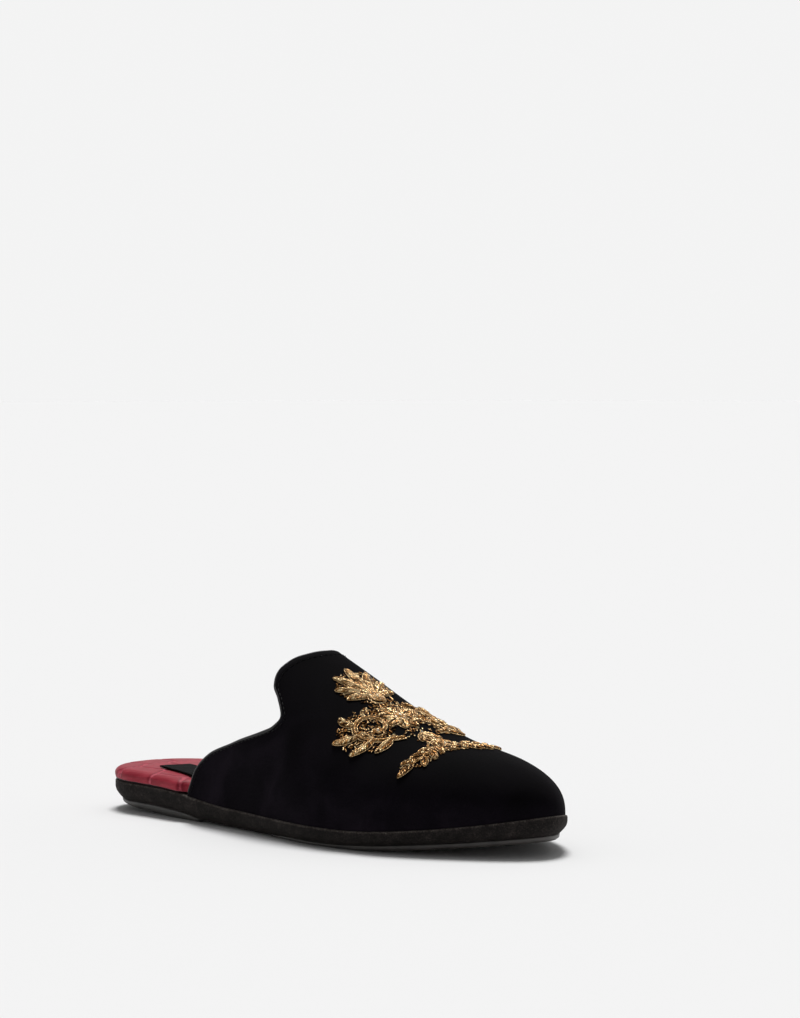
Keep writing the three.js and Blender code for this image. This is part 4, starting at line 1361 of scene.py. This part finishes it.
def build_stage(settings):
    bm = bmesh.new()
    bmesh.ops.create_grid(bm, x_segments=2, y_segments=2, size=settings.floor_size / 2)
    mesh = bpy.data.meshes.new("studio_floor")
    bm.to_mesh(mesh)
    bm.free()
    mesh.materials.append(shared("studio paper", floor_look, settings.paper))
    floor = place_in_scene("studio_floor", mesh)
    build_sky(settings)

    light = bpy.data.lights.new("broad_sun", "SUN")
    light.energy = settings.sun
    light.angle = math.radians(settings.sun_spread)
    lamp = place_in_scene("broad_sun", light)
    lamp.location = LAMP_AT
    lamp.rotation_euler = Vector(LAMP_AT).to_track_quat("Z", "Y").to_euler()

    lens = bpy.data.cameras.new("camera")
    lens.lens = CAMERA["lens"]
    lens.sensor_width = CAMERA["sensor"]
    camera = place_in_scene("camera", lens)
    camera.location = CAMERA["at"]
    az, el = math.radians(CAMERA["azimuth"]), math.radians(CAMERA["pitch"])
    back = Vector((math.sin(az) * math.cos(el), -math.cos(az) * math.cos(el), math.sin(el)))
    camera.rotation_euler = back.to_track_quat("Z", "Y").to_euler()
    bpy.context.scene.camera = camera
    bpy.context.scene.view_settings.view_transform = "Standard"


def metres(name, text, value):
    return FloatProperty(name=name, description=text, default=value, subtype="DISTANCE", unit="LENGTH")


def number(name, text, value):
    return FloatProperty(name=name, description=text, default=value)


class SlipperSizes(PropertyGroup):
    upper_steps: IntProperty(
        name="Upper steps", description="Grid steps along and across the velvet", default=UPPER_STEPS
    )
    plate_length: metres("Plate length", "Pressed plate along the insole", 0.024)
    plate_width: metres("Plate width", "Pressed plate across the insole", 0.020)
    groove_depth: metres("Groove depth", "Depth of the pressed grooves", 0.0005)


class StageSettings(PropertyGroup):
    paper: FloatVectorProperty(
        name="Floor colour", description="Colour of the pale floor", default=PAPER, size=4, subtype="COLOR"
    )
    floor_size: metres("Floor size", "Side of the floor", 90.0)
    sun: number("Sun", "Strength of the broad directional light", 2.69)
    sun_spread: number("Sun spread", "Softness of its shadow in degrees", 20.0)
    surround: number("Surround", "Brightness all round at eye level", 0.9)
    front: number("Front", "Share of that light left in front of the slipper", 0.4)
    ceiling: number("Ceiling", "Brightness overhead", 0.25)
    soft_box: number("Soft box", "Extra brightness of the overhead soft box", 0.6)


class SLIPPER_OT_upper(Operator):
    """Build the velvet upper with its lining and collar edge"""

    bl_idname = "slipper.upper"
    bl_label = "Velvet upper"

    def execute(self, context):
        build_upper(context.scene.slipper_sizes)
        return {"FINISHED"}


class SLIPPER_OT_sole(Operator):
    """Build the suede platform and the two rubber pads"""

    bl_idname = "slipper.sole"
    bl_label = "Platform and pads"

    def execute(self, context):
        build_midsole()
        build_pads()
        return {"FINISHED"}


class SLIPPER_OT_insole(Operator):
    """Build the padded insole with its pressed plates"""

    bl_idname = "slipper.insole"
    bl_label = "Padded insole"

    def execute(self, context):
        build_insole(context.scene.slipper_sizes)
        return {"FINISHED"}


class SLIPPER_OT_label(Operator):
    """Build the plain woven label on the insole"""

    bl_idname = "slipper.label"
    bl_label = "Woven label"

    def execute(self, context):
        build_label()
        return {"FINISHED"}


class SLIPPER_OT_goldwork(Operator):
    """Build the embroidered motifs on the vamp"""

    bl_idname = "slipper.goldwork"
    bl_label = "Goldwork"

    def execute(self, context):
        build_goldwork(context.scene.slipper_sizes)
        return {"FINISHED"}


class SLIPPER_OT_stage(Operator):
    """Lay the floor, hang the lights and set the camera"""

    bl_idname = "slipper.stage"
    bl_label = "Stage"

    def execute(self, context):
        build_stage(context.scene.slipper_stage)
        return {"FINISHED"}


class SLIPPER_PT_tools(Panel):
    """Operators and sizes of the slipper"""

    bl_idname = "SLIPPER_PT_tools"
    bl_label = "Slipper"
    bl_space_type = "VIEW_3D"
    bl_region_type = "UI"
    bl_category = "Slipper"

    def draw(self, context):
        layout = self.layout
        for settings in (context.scene.slipper_sizes, context.scene.slipper_stage):
            column = layout.column(align=True)
            for name in settings.__annotations__:
                column.prop(settings, name)
        for name in ("upper", "sole", "insole", "label", "goldwork", "stage"):
            layout.operator("slipper." + name)


CLASSES = (
    SlipperSizes,
    StageSettings,
    SLIPPER_OT_upper,
    SLIPPER_OT_sole,
    SLIPPER_OT_insole,
    SLIPPER_OT_label,
    SLIPPER_OT_goldwork,
    SLIPPER_OT_stage,
    SLIPPER_PT_tools,
)


def register():
    for cls in CLASSES:
        bpy.utils.register_class(cls)
    bpy.types.Scene.slipper_sizes = PointerProperty(type=SlipperSizes)
    bpy.types.Scene.slipper_stage = PointerProperty(type=StageSettings)


def unregister():
    del bpy.types.Scene.slipper_stage
    del bpy.types.Scene.slipper_sizes
    for cls in reversed(CLASSES):
        bpy.utils.unregister_class(cls)


def main():
    register()
    bpy.ops.slipper.upper()
    bpy.ops.slipper.sole()
    bpy.ops.slipper.insole()
    bpy.ops.slipper.label()
    bpy.ops.slipper.goldwork()
    bpy.ops.slipper.stage()


if __name__ == "__main__":
    main()
